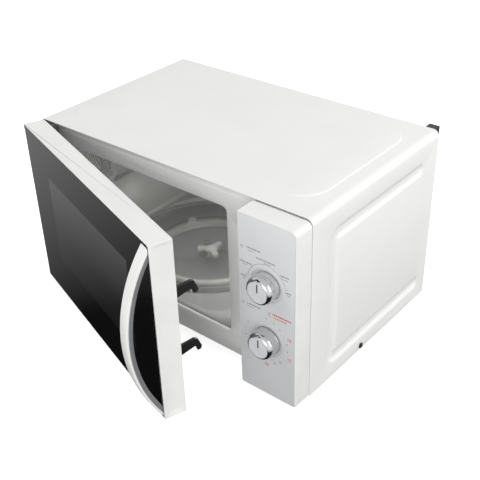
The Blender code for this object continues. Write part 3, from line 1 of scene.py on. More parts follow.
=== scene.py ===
# %% [markdown]
# # A small microwave oven with two dials
#
# The CAD model gives the exact size, place and joints of every sub-part.  This notebook gives the oven
# its looks: smooth pressed sheet, moulded plastic, printed film and glass.  The frame is loaded first,
# because every piece made below is placed from it and moves with one of its bodies.

# %% Load the frame
import json
import math

import bmesh
import bpy
from mathutils import Matrix, Vector

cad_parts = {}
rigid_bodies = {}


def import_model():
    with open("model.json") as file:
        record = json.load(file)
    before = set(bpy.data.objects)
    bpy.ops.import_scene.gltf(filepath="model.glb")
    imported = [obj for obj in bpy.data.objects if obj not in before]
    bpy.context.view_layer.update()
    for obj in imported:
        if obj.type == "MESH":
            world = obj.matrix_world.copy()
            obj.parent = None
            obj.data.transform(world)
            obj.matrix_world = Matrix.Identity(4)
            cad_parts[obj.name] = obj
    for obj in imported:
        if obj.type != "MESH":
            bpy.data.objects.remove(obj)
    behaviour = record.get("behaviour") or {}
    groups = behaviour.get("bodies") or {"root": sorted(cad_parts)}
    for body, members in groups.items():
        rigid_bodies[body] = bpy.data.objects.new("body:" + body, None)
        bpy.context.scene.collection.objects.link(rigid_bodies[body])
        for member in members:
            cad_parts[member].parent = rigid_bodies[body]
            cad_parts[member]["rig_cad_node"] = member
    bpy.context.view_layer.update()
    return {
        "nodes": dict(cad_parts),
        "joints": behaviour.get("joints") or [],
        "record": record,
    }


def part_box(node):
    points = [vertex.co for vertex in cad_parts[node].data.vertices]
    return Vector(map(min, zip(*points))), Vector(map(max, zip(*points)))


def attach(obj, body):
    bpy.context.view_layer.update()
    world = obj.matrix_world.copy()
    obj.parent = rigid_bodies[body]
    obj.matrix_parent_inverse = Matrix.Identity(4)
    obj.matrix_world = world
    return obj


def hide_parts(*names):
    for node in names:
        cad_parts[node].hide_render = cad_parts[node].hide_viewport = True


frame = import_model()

# %% [markdown]
# ## Where things are
#
# A maker's drawing counts from the cabinet: X from its middle, Y from its front edge, Z from the table,
# all in millimetres.  The numbers below follow that drawing.  The door was drawn shut and stands ajar, so
# it needs a second placement: a turn about its hinge.  Both come from the CAD, so nothing is fitted by eye.

# %% Cabinet and door placements
MM = 0.001
cover_low, cover_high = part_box("outer_cover")
CABINET = Matrix.Translation(((cover_low.x + cover_high.x) / 2, cover_low.y, 0))
hinge = next(j for j in frame["joints"] if j["name"] == "door_hinge")
hinge_pin = Matrix.Translation(Vector(hinge["pos_m"]))
shut_angle = math.radians(hinge["range_deg"][0])
ajar = Matrix.Rotation(-shut_angle, 4, Vector(hinge["axis"]))
DOOR = hinge_pin @ ajar @ hinge_pin.inverted() @ CABINET

WIDTH, DEPTH, TOP, BASE = 440, 271, 258, 13
LEFT, RIGHT = -WIDTH / 2, WIDTH / 2
SHEET = 1.0
WELD = 0.004                  # points closer than this are one point
print("door ajar by", round(-math.degrees(shut_angle), 1), "degrees")

# %% [markdown]
# ## Outlines, loops and turned shapes
#
# Sheet pressings, mouldings and turned knobs all start from outlines.  Three ways of filling them are
# enough here: a row of outlines joined by quads (a loft), a flat face with holes, and a profile spun round
# an axis.  Quads along the loft keep highlights smooth, which a Boolean's long thin triangles would not.

# %% Outline helpers
def arc(a, b, radius, start, end, steps=8):
    """Points on an arc round (a, b); angles in degrees."""
    turn = [math.radians(start + (end - start) * i / steps) for i in range(steps + 1)]
    return [(a + radius * math.cos(t), b + radius * math.sin(t)) for t in turn]


def rounded(a0, a1, b0, b1, radii, steps=6):
    """Anticlockwise rectangle; radii of its low-low, high-low, high-high and low-high corners."""
    if not isinstance(radii, tuple):
        radii = (radii,) * 4
    corners = ((a0, b0, 1, 1, 180), (a1, b0, -1, 1, 270), (a1, b1, -1, -1, 0), (a0, b1, 1, -1, 90))
    points = []
    for (a, b, in_a, in_b, start), r in zip(corners, radii):
        points += arc(a + in_a * r, b + in_b * r, r, start, start + 90, steps)
    return points


def circle(a, b, radius, steps=32):
    """Full circle round (a, b), without repeating its first point."""
    return arc(a, b, radius, 0, 360 * (steps - 1) / steps, steps - 1)


def at(axis, level, points):
    """Lift 2-D points into space: (y, z) for X, (x, z) for Y and (x, y) for Z."""
    order = {"X": lambda p: (level, *p), "Y": lambda p: (p[0], level, p[1]), "Z": lambda p: (*p, level)}
    return [Vector(order[axis](p)) for p in points]


# %% Surface helpers
def loft(bm, loops, closed=True):
    """Join outlines that have the same number of points with rows of quads."""
    rows = [[bm.verts.new(p) for p in loop] for loop in loops]
    for low, high in zip(rows, rows[1:]):
        count = len(low)
        for i in range(count if closed else count - 1):
            j = (i + 1) % count
            bm.faces.new((low[i], low[j], high[j], high[i]))
    return rows


def flat(bm, outline, holes=()):
    """Fill an outline, leaving holes open."""
    edges = []
    for loop in (outline, *holes):
        verts = [bm.verts.new(p) for p in loop]
        edges += [bm.edges.new((verts[i - 1], verts[i])) for i in range(len(verts))]
    bmesh.ops.triangle_fill(bm, use_beauty=True, use_dissolve=False, edges=edges)


def solid(bm, axis, low, high, outline):
    """Closed prism along an axis."""
    rows = loft(bm, [at(axis, low, outline), at(axis, high, outline)])
    bm.faces.new(rows[0])
    bm.faces.new(rows[1])


def pierced(bm, axis, low, high, outline, holes):
    """Closed plate with holes right through it."""
    for level in (low, high):
        flat(bm, at(axis, level, outline), [at(axis, level, hole) for hole in holes])
    for loop in (outline, *holes):
        loft(bm, [at(axis, low, loop), at(axis, high, loop)])


def block(bm, x0, x1, y0, y1, z0, z1):
    """Closed box."""
    solid(bm, "Z", z0, z1, [(x0, y0), (x1, y0), (x1, y1), (x0, y1)])


def spin(bm, axis, centre, profile, steps=64):
    """Turn a profile of (radius, height) points round an axis; ends on the axis close it."""
    across = Vector((0, 1, 0)) if axis == "X" else Vector((1, 0, 0))
    along = {"X": Vector((1, 0, 0)), "Y": Vector((0, 1, 0)), "Z": Vector((0, 0, 1))}[axis]
    centre = Vector(centre)
    verts = [bm.verts.new(centre + across * r + along * h) for r, h in profile]
    edges = [bm.edges.new(pair) for pair in zip(verts, verts[1:])]
    bmesh.ops.spin(bm, geom=verts + edges, cent=centre, axis=along, angle=math.tau, steps=steps)


# %% [markdown]
# ## From a surface to a piece
#
# A piece is a mesh with a finish, a place, a body that carries it and, often, the CAD node it stands for.
# Doing all of that in one function means that no piece is left behind when the door swings.  A pressed
# sheet is drawn as its outer surface alone and gets its thickness from a modifier.

# %% The piece maker
def fair(ob, angle=35):
    """Shade smoothly, but keep edges sharper than the angle crisp."""
    ob.data.shade_smooth()
    ob.data.set_sharp_from_angle(angle=math.radians(angle))


def soften(ob, width_mm, segments=3, angle=40):
    """Round the sharp edges, as any moulded or pressed edge is."""
    bevel = ob.modifiers.new("edge radius", "BEVEL")
    bevel.width = width_mm * MM
    bevel.segments = segments
    bevel.limit_method = "ANGLE"
    bevel.angle_limit = math.radians(angle)
    bevel.harden_normals = True
    bevel.use_clamp_overlap = True


def thicken(ob, thickness_mm):
    """Give a sheet its thickness, behind the surface that was drawn."""
    sheet = ob.modifiers.new("sheet", "SOLIDIFY")
    sheet.thickness = thickness_mm * MM
    sheet.offset = -1


def placed(name, data):
    """Put a mesh, light or camera into the scene."""
    ob = bpy.data.objects.new(name, data)
    bpy.context.scene.collection.objects.link(ob)
    return ob


def piece(name, bm, finish, body, stands_for=(), place=CABINET, edge=0.0, angle=35):
    """Make a piece from a mesh drawn in millimetres; edge is the radius of its sharp edges."""
    bmesh.ops.scale(bm, verts=bm.verts[:], vec=(MM, MM, MM))
    bmesh.ops.remove_doubles(bm, verts=bm.verts[:], dist=WELD * MM)
    bmesh.ops.recalc_face_normals(bm, faces=bm.faces[:])
    mesh = bpy.data.meshes.new(name)
    bm.to_mesh(mesh)
    bm.free()
    ob = placed(name, mesh)
    ob.matrix_world = place
    mesh.materials.append(finish)
    fair(ob, angle)
    if edge:
        soften(ob, edge)
    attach(ob, body)
    if stands_for:
        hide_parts(*stands_for)
    return ob


def facing(ob, spot, direction):
    """Turn the whole surface over if the face nearest a spot looks the wrong way."""
    mesh = ob.data
    target = Vector(spot) * MM
    nearest = min(mesh.polygons, key=lambda f: (f.center - target).length)
    if nearest.normal.dot(Vector(direction)) < 0:
        mesh.flip_normals()
    return ob

# %% [markdown]
# ## Building finishes from nodes
#
# Colours are written as sRGB hex, as paint and plastic makers give them, and one function turns them to
# the linear values that light is computed with.  One more adds a node with its settings and links.  The
# texture coordinates are the object's own, in metres, so a pattern of so many millimetres keeps its size
# on every piece.  A perfectly even surface looks like a drawing; grain and small changes in gloss make
# the eye believe in sheet, paint and plastic.

# %% Colour and node helpers
def linear(hex_colour):
    """An sRGB hex colour as the linear values of a shader socket."""
    parts = [int(hex_colour[i:i + 2], 16) / 255 for i in (1, 3, 5)]
    return (*[p / 12.92 if p <= 0.04045 else ((p + 0.055) / 1.055) ** 2.4 for p in parts], 1.0)


def node(tree, kind, inputs=None, **settings):
    """Add a shader node; inputs maps a socket to a value, or to the socket that feeds it."""
    made = tree.nodes.new("ShaderNode" + kind)
    for key, value in settings.items():
        setattr(made, key, value)
    for key, value in (inputs or {}).items():
        if isinstance(value, bpy.types.NodeSocket):
            tree.links.new(value, made.inputs[key])
        else:
            made.inputs[key].default_value = value
    return made


def finish(name, colour, roughness, **sockets):
    """Start a material: its colour, roughness and any other even value go straight on the shader."""
    material = bpy.data.materials.new(name)
    material.use_nodes = True
    tree = material.node_tree
    shader = tree.nodes["Principled BSDF"]
    shader.inputs["Base Color"].default_value = linear(colour)
    shader.inputs["Roughness"].default_value = roughness
    for key, value in sockets.items():
        shader.inputs[key.replace("_", " ").title().replace("Ior", "IOR")].default_value = value
    material.diffuse_color = linear(colour)
    return material, tree, shader


def ramp(tree, factor, stops):
    """Colour along a factor, from (position, linear colour) stops in rising order."""
    made = node(tree, "ValToRGB", {"Fac": factor})
    elements = made.color_ramp.elements
    while len(elements) < len(stops):
        elements.new(0.5)
    for element, (position, colour) in zip(elements, stops):
        element.position = position
        element.color = colour
    return made.outputs["Color"]


def tint(tree, shader, factor, stops):
    """Colour the piece along a factor, from (position, hex) stops."""
    colour = ramp(tree, factor, [(position, linear(tone)) for position, tone in stops])
    tree.links.new(colour, shader.inputs["Base Color"])


def relief(tree, shader, height, depth_mm, strength=1.0):
    """Raise and sink the surface by a height pattern."""
    bump = node(tree, "Bump", {"Height": height, "Distance": depth_mm * MM, "Strength": strength})
    tree.links.new(bump.outputs["Normal"], shader.inputs["Normal"])


def own_space(tree, stretch=(1, 1, 1)):
    """The piece's own coordinates; stretch makes a pattern longer along an axis."""
    place = node(tree, "TexCoord").outputs["Object"]
    if stretch == (1, 1, 1):
        return place
    return node(tree, "Mapping", {"Vector": place, "Scale": stretch}).outputs["Vector"]


def grain(tree, shader, size_mm, height_mm, gloss=(0.0, 0.0), stretch=(1, 1, 1), detail=3):
    """Fine relief of a given size, and a change of gloss between two roughness values."""
    noise = node(tree, "TexNoise", {"Vector": own_space(tree, stretch), "Scale": 1 / (size_mm * MM),
                                    "Detail": detail, "Roughness": 0.6})
    relief(tree, shader, noise.outputs["Fac"], height_mm)
    if gloss[1] > 0:
        spread = node(tree, "MapRange", {"Value": noise.outputs["Fac"], "From Min": 0.3, "From Max": 0.7,
                                         "To Min": gloss[0], "To Max": gloss[1]})
        tree.links.new(spread.outputs["Result"], shader.inputs["Roughness"])
    return noise.outputs["Fac"]


def cloud(tree, size_mm, detail=2):
    """Slow change over the piece, for handling marks and uneven curing."""
    return node(tree, "TexNoise", {"Vector": own_space(tree), "Scale": 1 / (size_mm * MM),
                                   "Detail": detail}).outputs["Fac"]


# %% [markdown]
# ## Paints
#
# The cover and front plate are steel with white powder paint, baked on.  Powder flows out as it melts and
# leaves a faint orange peel a few millimetres across.  The cavity has a light grey oven paint with a fine,
# slightly rougher texture that hides scratches from dishes.

# %% Paints
powder_paint, tree, shader = finish("white_powder_painted_steel", "#F0F0EE", 0.34, ior=1.5)
grain(tree, shader, 2.2, 0.012, (0.30, 0.40))
tint(tree, shader, cloud(tree, 60), ((0.35, "#F0F0EE"), (0.65, "#F2F2F0")))

oven_paint, tree, shader = finish("grey_textured_oven_paint", "#A0A09E", 0.42, ior=1.5)
speck = grain(tree, shader, 1.4, 0.03, (0.36, 0.50), detail=5)
tint(tree, shader, speck, ((0.38, "#9A9A98"), (0.62, "#A6A6A4")))

# %% [markdown]
# ## Moulded plastics
#
# Door frame, handle and panel are white ABS, moulded against a lightly spark-eroded tool: semi-gloss with
# a grain of about a millimetre.  Hooks, spacers and gland are black nylon, the ring inside the door is grey
# polypropylene and the parts in the electrical bay are natural, slightly yellow polyester.

# %% Plastics
def moulded(name, light, dark, gloss, size_mm=1.1, height_mm=0.012, ior=1.53):
    """A plastic or an ink between two close tones, with a grain and a span of roughness."""
    material, tree, shader = finish(name, light, gloss[0], ior=ior)
    grain(tree, shader, size_mm, height_mm, gloss)
    tint(tree, shader, cloud(tree, 35), ((0.35, dark), (0.65, light)))
    return material


white_abs = moulded("white_moulded_abs", "#F4F4F2", "#EFEFED", (0.26, 0.36))
# Painted shade: the handle's side is given this grey in place of the white of the band, for the shade on it.
handle_side_painted_shade = moulded("handle_side_painted_shade_grey", "#8E8F91", "#86878A", (0.30, 0.42))
black_nylon = moulded("black_moulded_nylon", "#121213", "#0B0B0C", (0.36, 0.50), 1.4, 0.03)
grey_pp = moulded("grey_moulded_polypropylene", "#77797C", "#707275", (0.40, 0.52), 1.6, 0.03, 1.49)
natural_pbt = moulded("natural_polyester", "#D9D2BC", "#CFC7AE", (0.42, 0.55), 1.6, 0.03, 1.57)
white_pom = moulded("white_acetal", "#ECEBE6", "#E2E1DA", (0.30, 0.42), 1.2, 0.02, 1.48)
rubber_foot = moulded("black_rubber", "#1A1A1A", "#101010", (0.70, 0.85), 1.2, 0.06, 1.52)

# %% [markdown]
# ## Glass
#
# The tray is clear soda-lime glass.  Its alpha lets part of the light straight through, because a thin
# pressing hardly darkens what lies under it.  The door's glass is tempered and printed black on its back,
# with the window left thinner so that it shows as a slightly lighter field.  Its colour is also painted
# darker towards the bottom, a painted reflection of the dark below the table.  Both are polished, so their
# roughness is near zero.

# %% Glass
clear_glass, tree, shader = finish("clear_tray_glass", "#F4F6F6", 0.02, ior=1.52,
                                   transmission_weight=1.0, alpha=0.55)
grain(tree, shader, 14, 0.05, detail=1)

WINDOW = (-154.0, 76.8, 79.0, 205.8)       # left, right, low and high edge on the shut door
PRINT_FADE = 0.0012                         # width of the window's printed edge
printed_glass, tree, shader = finish("black_printed_door_glass", "#1A1A1C", 0.05, ior=1.45)
shader.inputs["Specular IOR Level"].default_value = 0.30
axes = node(tree, "SeparateXYZ", {"Vector": own_space(tree)}).outputs
# Painted reflection: a height factor that makes the glass's colour darker towards its bottom.
height = node(tree, "MapRange", {"Value": axes["Z"], "From Min": 0.02, "From Max": 0.25}).outputs["Result"]
inside = None
for axis, low, high in (("X", *WINDOW[:2]), ("Z", *WINDOW[2:])):
    middle, half = (low + high) / 2 * MM, (high - low) / 2 * MM
    shifted = node(tree, "Math", {0: axes[axis], 1: middle}, operation="SUBTRACT").outputs[0]
    away = node(tree, "Math", {0: shifted}, operation="ABSOLUTE").outputs[0]
    within = node(tree, "MapRange", {"Value": away, "From Min": half,
                                     "From Max": half - PRINT_FADE}).outputs[0]
    inside = within if inside is None else node(tree, "Math", {0: inside, 1: within},
                                                operation="MULTIPLY").outputs[0]
# Both print tones are painted darker towards the bottom, as painted reflection of the dark below.
border, field = [ramp(tree, height, list(zip((0.0, 0.45, 1.0), map(linear, tones))))
                 for tones in (("#040405", "#0A0A0B", "#18181A"), ("#101011", "#282829", "#585859"))]
mixed = node(tree, "Mix", {"Factor": inside, "A": border, "B": field}, data_type="RGBA")
tree.links.new(mixed.outputs[2], shader.inputs["Base Color"])
ripple = node(tree, "TexNoise", {"Vector": own_space(tree), "Scale": 1 / 0.09, "Detail": 1})
relief(tree, shader, ripple.outputs["Fac"], 0.12)

# %% [markdown]
# ## Metals
#
# Zinc dip leaves a spangle of crystals some six millimetres across on the hidden sheet.  The knobs are
# plastic plated with chrome round the side, which mirrors like polished metal.  Their face is a satin
# silver lacquer over fine spun rings, drawn here 0.8 mm apart so that they show.  It is pale and only
# slightly metallic, so it stays light where the chrome goes dark.  Shafts and springs are drawn bright
# steel.  Core and windings show their layers: sheets 2 mm and wires 1.8 mm apart.

# %% Metals
zinc_sheet, tree, shader = finish("galvanised_sheet_steel", "#B9BBBD", 0.40, metallic=1.0)
spangle = node(tree, "TexVoronoi", {"Vector": own_space(tree), "Scale": 1 / 0.006}).outputs["Color"]
crystal = node(tree, "SeparateColor", {"Color": spangle}).outputs["Red"]
tint(tree, shader, crystal, ((0.1, "#B3B5B7"), (0.9, "#BFC1C3")))
uneven = node(tree, "MapRange", {"Value": crystal, "To Min": 0.38, "To Max": 0.46}).outputs["Result"]
tree.links.new(uneven, shader.inputs["Roughness"])

drawn_steel, tree, shader = finish("drawn_bright_steel", "#C4C5C7", 0.25, metallic=1.0)
grain(tree, shader, 2.0, 0.01, (0.18, 0.34), stretch=(4, 0.3, 4))

chrome, tree, shader = finish("chrome_plate", "#D6D7D9", 0.07, metallic=1.0)
grain(tree, shader, 9, 0.01, (0.05, 0.10), detail=1)

satin_silver, tree, shader = finish("spun_satin_silver_lacquer", "#EAEBEC", 0.34, metallic=0.12)
rings = node(tree, "TexWave", {"Vector": own_space(tree), "Scale": 1 / 0.0025, "Distortion": 0.6, "Detail": 1},
             wave_type="RINGS", rings_direction="Y").outputs["Fac"]
relief(tree, shader, rings, 0.01, 0.6)
tint(tree, shader, cloud(tree, 12), ((0.3, "#E4E5E6"), (0.7, "#EEEFF0")))

laminated_core, tree, shader = finish("laminated_core_steel", "#5A5653", 0.55, metallic=0.6)
sheets = node(tree, "TexWave", {"Vector": own_space(tree), "Scale": 1 / 0.0063, "Distortion": 0.3},
              wave_type="BANDS", bands_direction="Y").outputs["Fac"]
tint(tree, shader, sheets, ((0.2, "#3A3735"), (0.7, "#6B6663")))
relief(tree, shader, sheets, 0.1)

magnet_wire, tree, shader = finish("enamelled_copper_wire", "#9A5326", 0.35, metallic=0.8)
turns = node(tree, "TexWave", {"Vector": own_space(tree), "Scale": 1 / 0.0056, "Distortion": 0.8},
             wave_type="BANDS", bands_direction="Z").outputs["Fac"]
tint(tree, shader, turns, ((0.15, "#5E2C12"), (0.75, "#B5682F")))
relief(tree, shader, turns, 0.3)

# %% [markdown]
# ## Film, inks and boards
#
# The panel's face is a printed film with fine aluminium pigment.  Its colour is painted darker towards its
# foot: painted shade and painted reflection of the dark below.  Inks are matt, so they stay readable.  Mica
# is split from layers and shows brown flakes, and the filter board is resin paper with a dull solder mask.

# %% Film, inks and boards
silver_film, tree, shader = finish("silver_printed_film", "#E4E5E6", 0.38, ior=1.5)
flakes = grain(tree, shader, 0.9, 0.006, (0.32, 0.44), detail=4)
# Painted shade and reflection: the film's colour is made darker towards its foot by height.
rise = node(tree, "SeparateXYZ", {"Vector": own_space(tree)}).outputs["Z"]
painted_shade_to_foot = node(tree, "MapRange", {"Value": rise, "From Min": 0.015, "From Max": 0.255}).outputs["Result"]
flakes_and_painted_shade = node(tree, "Math", {0: flakes, 1: 0.10, 2: painted_shade_to_foot}, operation="MULTIPLY_ADD").outputs[0]
tint(tree, shader, flakes_and_painted_shade, ((0.05, "#CDCECF"), (1.05 / 1.1, "#EDEEEF")))

grey_ink = moulded("grey_screen_ink", "#8B8C8F", "#828386", (0.55, 0.65), 0.8, 0.004)
red_ink = moulded("red_screen_ink", "#D3202C", "#C81B27", (0.50, 0.60), 0.8, 0.004)
dark_ink = moulded("dark_screen_ink", "#2A2A2C", "#222224", (0.50, 0.60), 0.8, 0.004)

mica_sheet, tree, shader = finish("mica_sheet", "#A68F6B", 0.40, ior=1.58)
leaf = node(tree, "TexVoronoi", {"Vector": own_space(tree), "Scale": 1 / 0.006}).outputs["Distance"]
tint(tree, shader, leaf, ((0.1, "#8A7350"), (0.6, "#B8A37E")))

filter_resin, tree, shader = finish("resin_paper_board", "#8A5A2B", 0.50, ior=1.5)
weave = node(tree, "TexNoise", {"Vector": own_space(tree), "Scale": 1 / 0.003, "Detail": 3}).outputs["Fac"]
tint(tree, shader, weave, ((0.4, "#6E4420"), (0.6, "#99682F")))

# %% [markdown]
# ## The door's microwave screen
#
# Real screens have thousands of 1.5 mm holes.  Cutting each would make a very heavy mesh for something seen
# at a glance, so the holes are a regular dot pattern in the paint, sunken, one every 2.4 mm.  Each dot is
# painted near-black, as painted shade of the dark seen through a hole.

# %% Screen finish
screen_paint, tree, shader = finish("perforated_screen_paint", "#6F7071", 0.45, ior=1.5)
hole_dots_painted_dark = node(tree, "TexVoronoi", {"Vector": own_space(tree), "Scale": 1 / 0.0024, "Randomness": 0.0})
# Painted shade: each hole's dot is near-black, for the dark seen through it.
tint(tree, shader, hole_dots_painted_dark.outputs["Distance"], ((0.30, "#0C0C0D"), (0.38, "#7A7B7C")))
relief(tree, shader, hole_dots_painted_dark.outputs["Distance"], 0.4)
print("materials:", len(bpy.data.materials))

# %% [markdown]
# ## Outer cover
#
# One sheet is folded over the top and both sides.  Its top has a raised field and each side a C-shaped
# bead: both stiffen the thin steel.  A press can't make a sharp step, so each step is an S-shaped slope.
# It is lofted from offset outlines, which gives the long soft highlight that shows on real pressings.

# %% Pressed steps
SLOPE = 7


def s_curve(t):
    """Ease in and out between 0 and 1."""
    return t * t * (3 - 2 * t)


def press(bm, outline_at, axis, level, depth, outside, inside):
    """Slope from a flat face to a pressed depth; outline_at(offset) gives the outline at that offset."""
    loops = []
    for i in range(SLOPE + 1):
        t = i / SLOPE
        loops.append(at(axis, level + depth * s_curve(t), outline_at(outside + (inside - outside) * t)))
    loft(bm, loops)
    return loops[0], loops[-1]


def field_outline(offset):
    """Raised field of the top."""
    x0, x1, y0, y1 = LEFT + 17, RIGHT - 23, 27, DEPTH - 26
    return rounded(x0 - offset, x1 + offset, y0 - offset, y1 + offset, 37 + offset, 12)


def bead_outline(offset):
    """C-shaped bead of a side, open towards the back."""
    half, turn, front = 9 + offset, 11, 43.5
    high, low, high_end, low_end = TOP - 39, BASE + 29, DEPTH - 43, DEPTH - 30
    inner, outer = max(turn - half, 0.4), turn + half
    points = arc(low_end, low, half, -90, 90, 12)
    points += arc(front + turn, low + turn, inner, 270, 180, 4)
    points += arc(front + turn, high - turn, inner, 180, 90, 4)
    points += arc(high_end, high, half, -90, 90, 12)
    points += arc(front + turn, high - turn, outer, 90, 180, 10)
    points += arc(front + turn, low + turn, outer, 180, 270, 10)
    return points


# %% Outer cover
FOLD = 9
bm = bmesh.new()
rim, crown = press(bm, field_outline, "Z", TOP, 1.5, 1.0, -1.6)
flat(bm, crown)
top = [(LEFT + FOLD, 0), (RIGHT - FOLD, 0), (RIGHT - FOLD, DEPTH), (LEFT + FOLD, DEPTH)]
flat(bm, at("Z", TOP, top), [rim])
for side in (-1, 1):
    x = side * WIDTH / 2
    rim, channel = press(bm, bead_outline, "X", x, -side * 2.5, 1.5, -6.5)
    flat(bm, channel)
    holes = [rim]
    if side > 0:
        holes.append(at("X", x, circle(111, BASE + 6.5, 2.1, 20)))      # for the cover's screw
    else:
        for i in range(8):
            y = DEPTH - 130 + 11 * i
            holes.append(at("X", x, rounded(y, y + 4, BASE + 60, BASE + 85, 1.9, 4)))
    wall = [(0, BASE), (DEPTH, BASE), (DEPTH, TOP - FOLD), (0, TOP - FOLD)]
    flat(bm, at("X", x, wall), holes)
    bend = arc(x - side * FOLD, TOP - FOLD, FOLD, 90 - side * 90, 90, 8)
    loft(bm, [[Vector((a, y, b)) for a, b in bend] for y in (0, DEPTH)], closed=False)
cover = piece("cover_pressing", bm, powder_paint, "cabinet", ("outer_cover",), angle=30)
facing(cover, (0, 100, TOP), (0, 0, 1))
thicken(cover, SHEET)
soften(cover, 0.35, 2, 60)
print("cover", len(cover.data.polygons), "faces")

# %% [markdown]
# ## Front plate
#
# The plate behind the door frames the cavity.  Its mouth is rolled inwards so that a hand meets no raw edge,
# and it steps back near the top where the cover laps over it.  Two slots take the door's hooks.  Small
# screw heads hold it to the cavity.

# %% Front plate
CAVITY = (LEFT + 26, RIGHT - 128, 45.5, 224.0)
PLATE_Y, CAP_BACK = 8.0, 1.0
LATCH_X, HOOKS = 128.8, (180.15, 100.15)


def mouth(offset):
    """The plate's opening, grown by an offset."""
    x0, x1, z0, z1 = CAVITY
    return rounded(x0 - offset, x1 + offset, z0 - offset, z1 + offset, 6 + offset, 6)


bm = bmesh.new()
ROLL = 3.0
roll = [at("Y", PLATE_Y + ROLL * (1 - math.cos(t)), mouth(ROLL * (1 - math.sin(t))))
        for t in [math.pi / 2 * i / 6 for i in range(7)]]
loft(bm, roll + [at("Y", PLATE_Y + ROLL + 0.6, mouth(0))])
slots = [rounded(LATCH_X - 5, LATCH_X + 6.5, z - 10, z + 17, 1.5, 3) for z in HOOKS]
timer_hole = rounded(149, 211, 68.5, 203, 1.5, 3)
left, right, low, crease, high = LEFT + 1.3, RIGHT - 1.3, BASE + 2, TOP - 14, TOP - 1.3
body = [(left, low), (right, low), (right, crease), (left, crease)]
flat(bm, at("Y", PLATE_Y, body), [roll[0], *[at("Y", PLATE_Y, hole) for hole in (*slots, timer_hole)]])
step = [(0.0, 0.0), (0.35, 0.12), (0.85, 0.5), (1.35, 0.88), (1.7, CAP_BACK)]
loft(bm, [[Vector((x, PLATE_Y + back, crease + up)) for x in (left, right)] for up, back in step], closed=False)
CAP_R, cap_foot = 7.7, crease + step[-1][0]
cap = [(left, cap_foot), (right, cap_foot), *arc(right - CAP_R, high - CAP_R, CAP_R, 0, 90, 6),
       *arc(left + CAP_R, high - CAP_R, CAP_R, 90, 180, 6)]
flat(bm, at("Y", PLATE_Y + CAP_BACK, cap))
plate = piece("front_plate_pressing", bm, powder_paint, "cabinet", ("front_plate",), angle=30)
facing(plate, (110, PLATE_Y, 140), (0, -1, 0))
thicken(plate, 0.9)

bm = bmesh.new()
head = [(0.0, -0.9), (0.6, -0.85), (1.2, -0.6), (1.6, -0.25), (1.7, 0.0), (0.0, 0.0)]
for x, z in ((97.5, 46), (97.5, 222), (-199, 46), (-199, 222)):
    spin(bm, "Y", (x, PLATE_Y, z), head, 20)
piece("front_plate_rivets", bm, powder_paint, "cabinet")

# %% [markdown]
# ## Cavity
#
# Five painted walls with rounded corners, as the sheets are folded and welded.  The left wall has two
# patterns of steam holes: a field high up near the front, and a double row behind it that runs back a
# little lower.  They are cut right through, since light and shadow in real holes can't be had from a
# bump.  The floor has a sunken pan for the turntable, with a drawn edge.

# %% Cavity walls
x0, x1, z0, z1 = CAVITY
ROUND, NEAR, FAR = 6.0, PLATE_Y + ROLL + 0.3, DEPTH - 9.0
bm = bmesh.new()
stations = [(NEAR, 0.0), *[(FAR - ROUND + ROUND * math.sin(t), ROUND * (1 - math.cos(t)))
                           for t in [math.pi / 2 * i / 6 for i in range(7)]]]
rows = [at("Y", y, rounded(x0 + s, x1 - s, z0 + s, z1 - s, max(ROUND - s, 0.2), 6)) for y, s in stations]
bm.faces.new(loft(bm, rows[1:])[-1])        # the back wall
corner = len(rows[0]) // 4
for k in range(4):
    first, second = rows[0][k * corner:(k + 1) * corner], rows[1][k * corner:(k + 1) * corner]
    loft(bm, [first, second], closed=False)


def wall_ends(k):
    """The straight edge between corner k and the next, at the mouth and at the back."""
    last, following = (k + 1) * corner - 1, (k + 1) * corner % len(rows[0])
    return [rows[0][last], rows[0][following], rows[1][following], rows[1][last]]


def holes_in_patch(y_from, y_to, z_from, z_to, pitch=4.3, radius=1.5):
    """Round holes of the left wall in staggered rows."""
    spots, row, z = [], 0, z_from
    while z <= z_to:
        y = y_from + (row % 2) * pitch / 2
        while y <= y_to:
            spots.append(at("X", x0, circle(y, z, radius, 10)))
            y += pitch
        z += pitch * 0.866
        row += 1
    return spots


steam_holes = holes_in_patch(46, 88, 143, 199) + holes_in_patch(93, 172, 131.5, 137)
TURN = ((x0 + x1) / 2, (9 + FAR) / 2)       # the turntable's axis
PAN_DEPTH = 12.5
pan = (x0 + 8, x1 - 8, 21, FAR - 8)


def pan_outline(offset):
    """Sunken part of the floor, shrunk by an offset."""
    return rounded(pan[0] + offset, pan[1] - offset, pan[2] + offset, pan[3] - offset, 60 - offset, 12)


feed = rounded(107, 173, 141, 199, 2, 3)
drop = [(0.0, 0.0), (0.5, -0.12), (1.0, -0.55), (1.3, -1.3), (1.6, -7.5), (2.1, -10.0), (3.1, -11.6),
        (4.6, -PAN_DEPTH)]
sink = [at("Z", z0 + down, pan_outline(inset)) for inset, down in drop]
loft(bm, sink)
flat(bm, sink[-1], [at("Z", z0 - PAN_DEPTH, circle(*TURN, 5.5, 24))])
flat(bm, wall_ends(0), [sink[0]])
flat(bm, wall_ends(1), [at("X", x1, feed)])
flat(bm, wall_ends(2))
flat(bm, wall_ends(3), steam_holes)
walls = piece("cavity_walls", bm, oven_paint, "cabinet", ("cavity_shell",), angle=30)
facing(walls, (-51, FAR, 140), (0, -1, 0))
thicken(walls, 0.8)
print("cavity holes", len(steam_holes))

# %% [markdown]
# ## Turntable tray
#
# The tray is pressed glass: a flat base, a shallow sloping rim with a rounded lip, a foot ring that runs
# on the rollers, and three lugs that the drive piece pushes.  Spinning a finely drawn profile gives the
# thin bright rings that pressed glass shows.

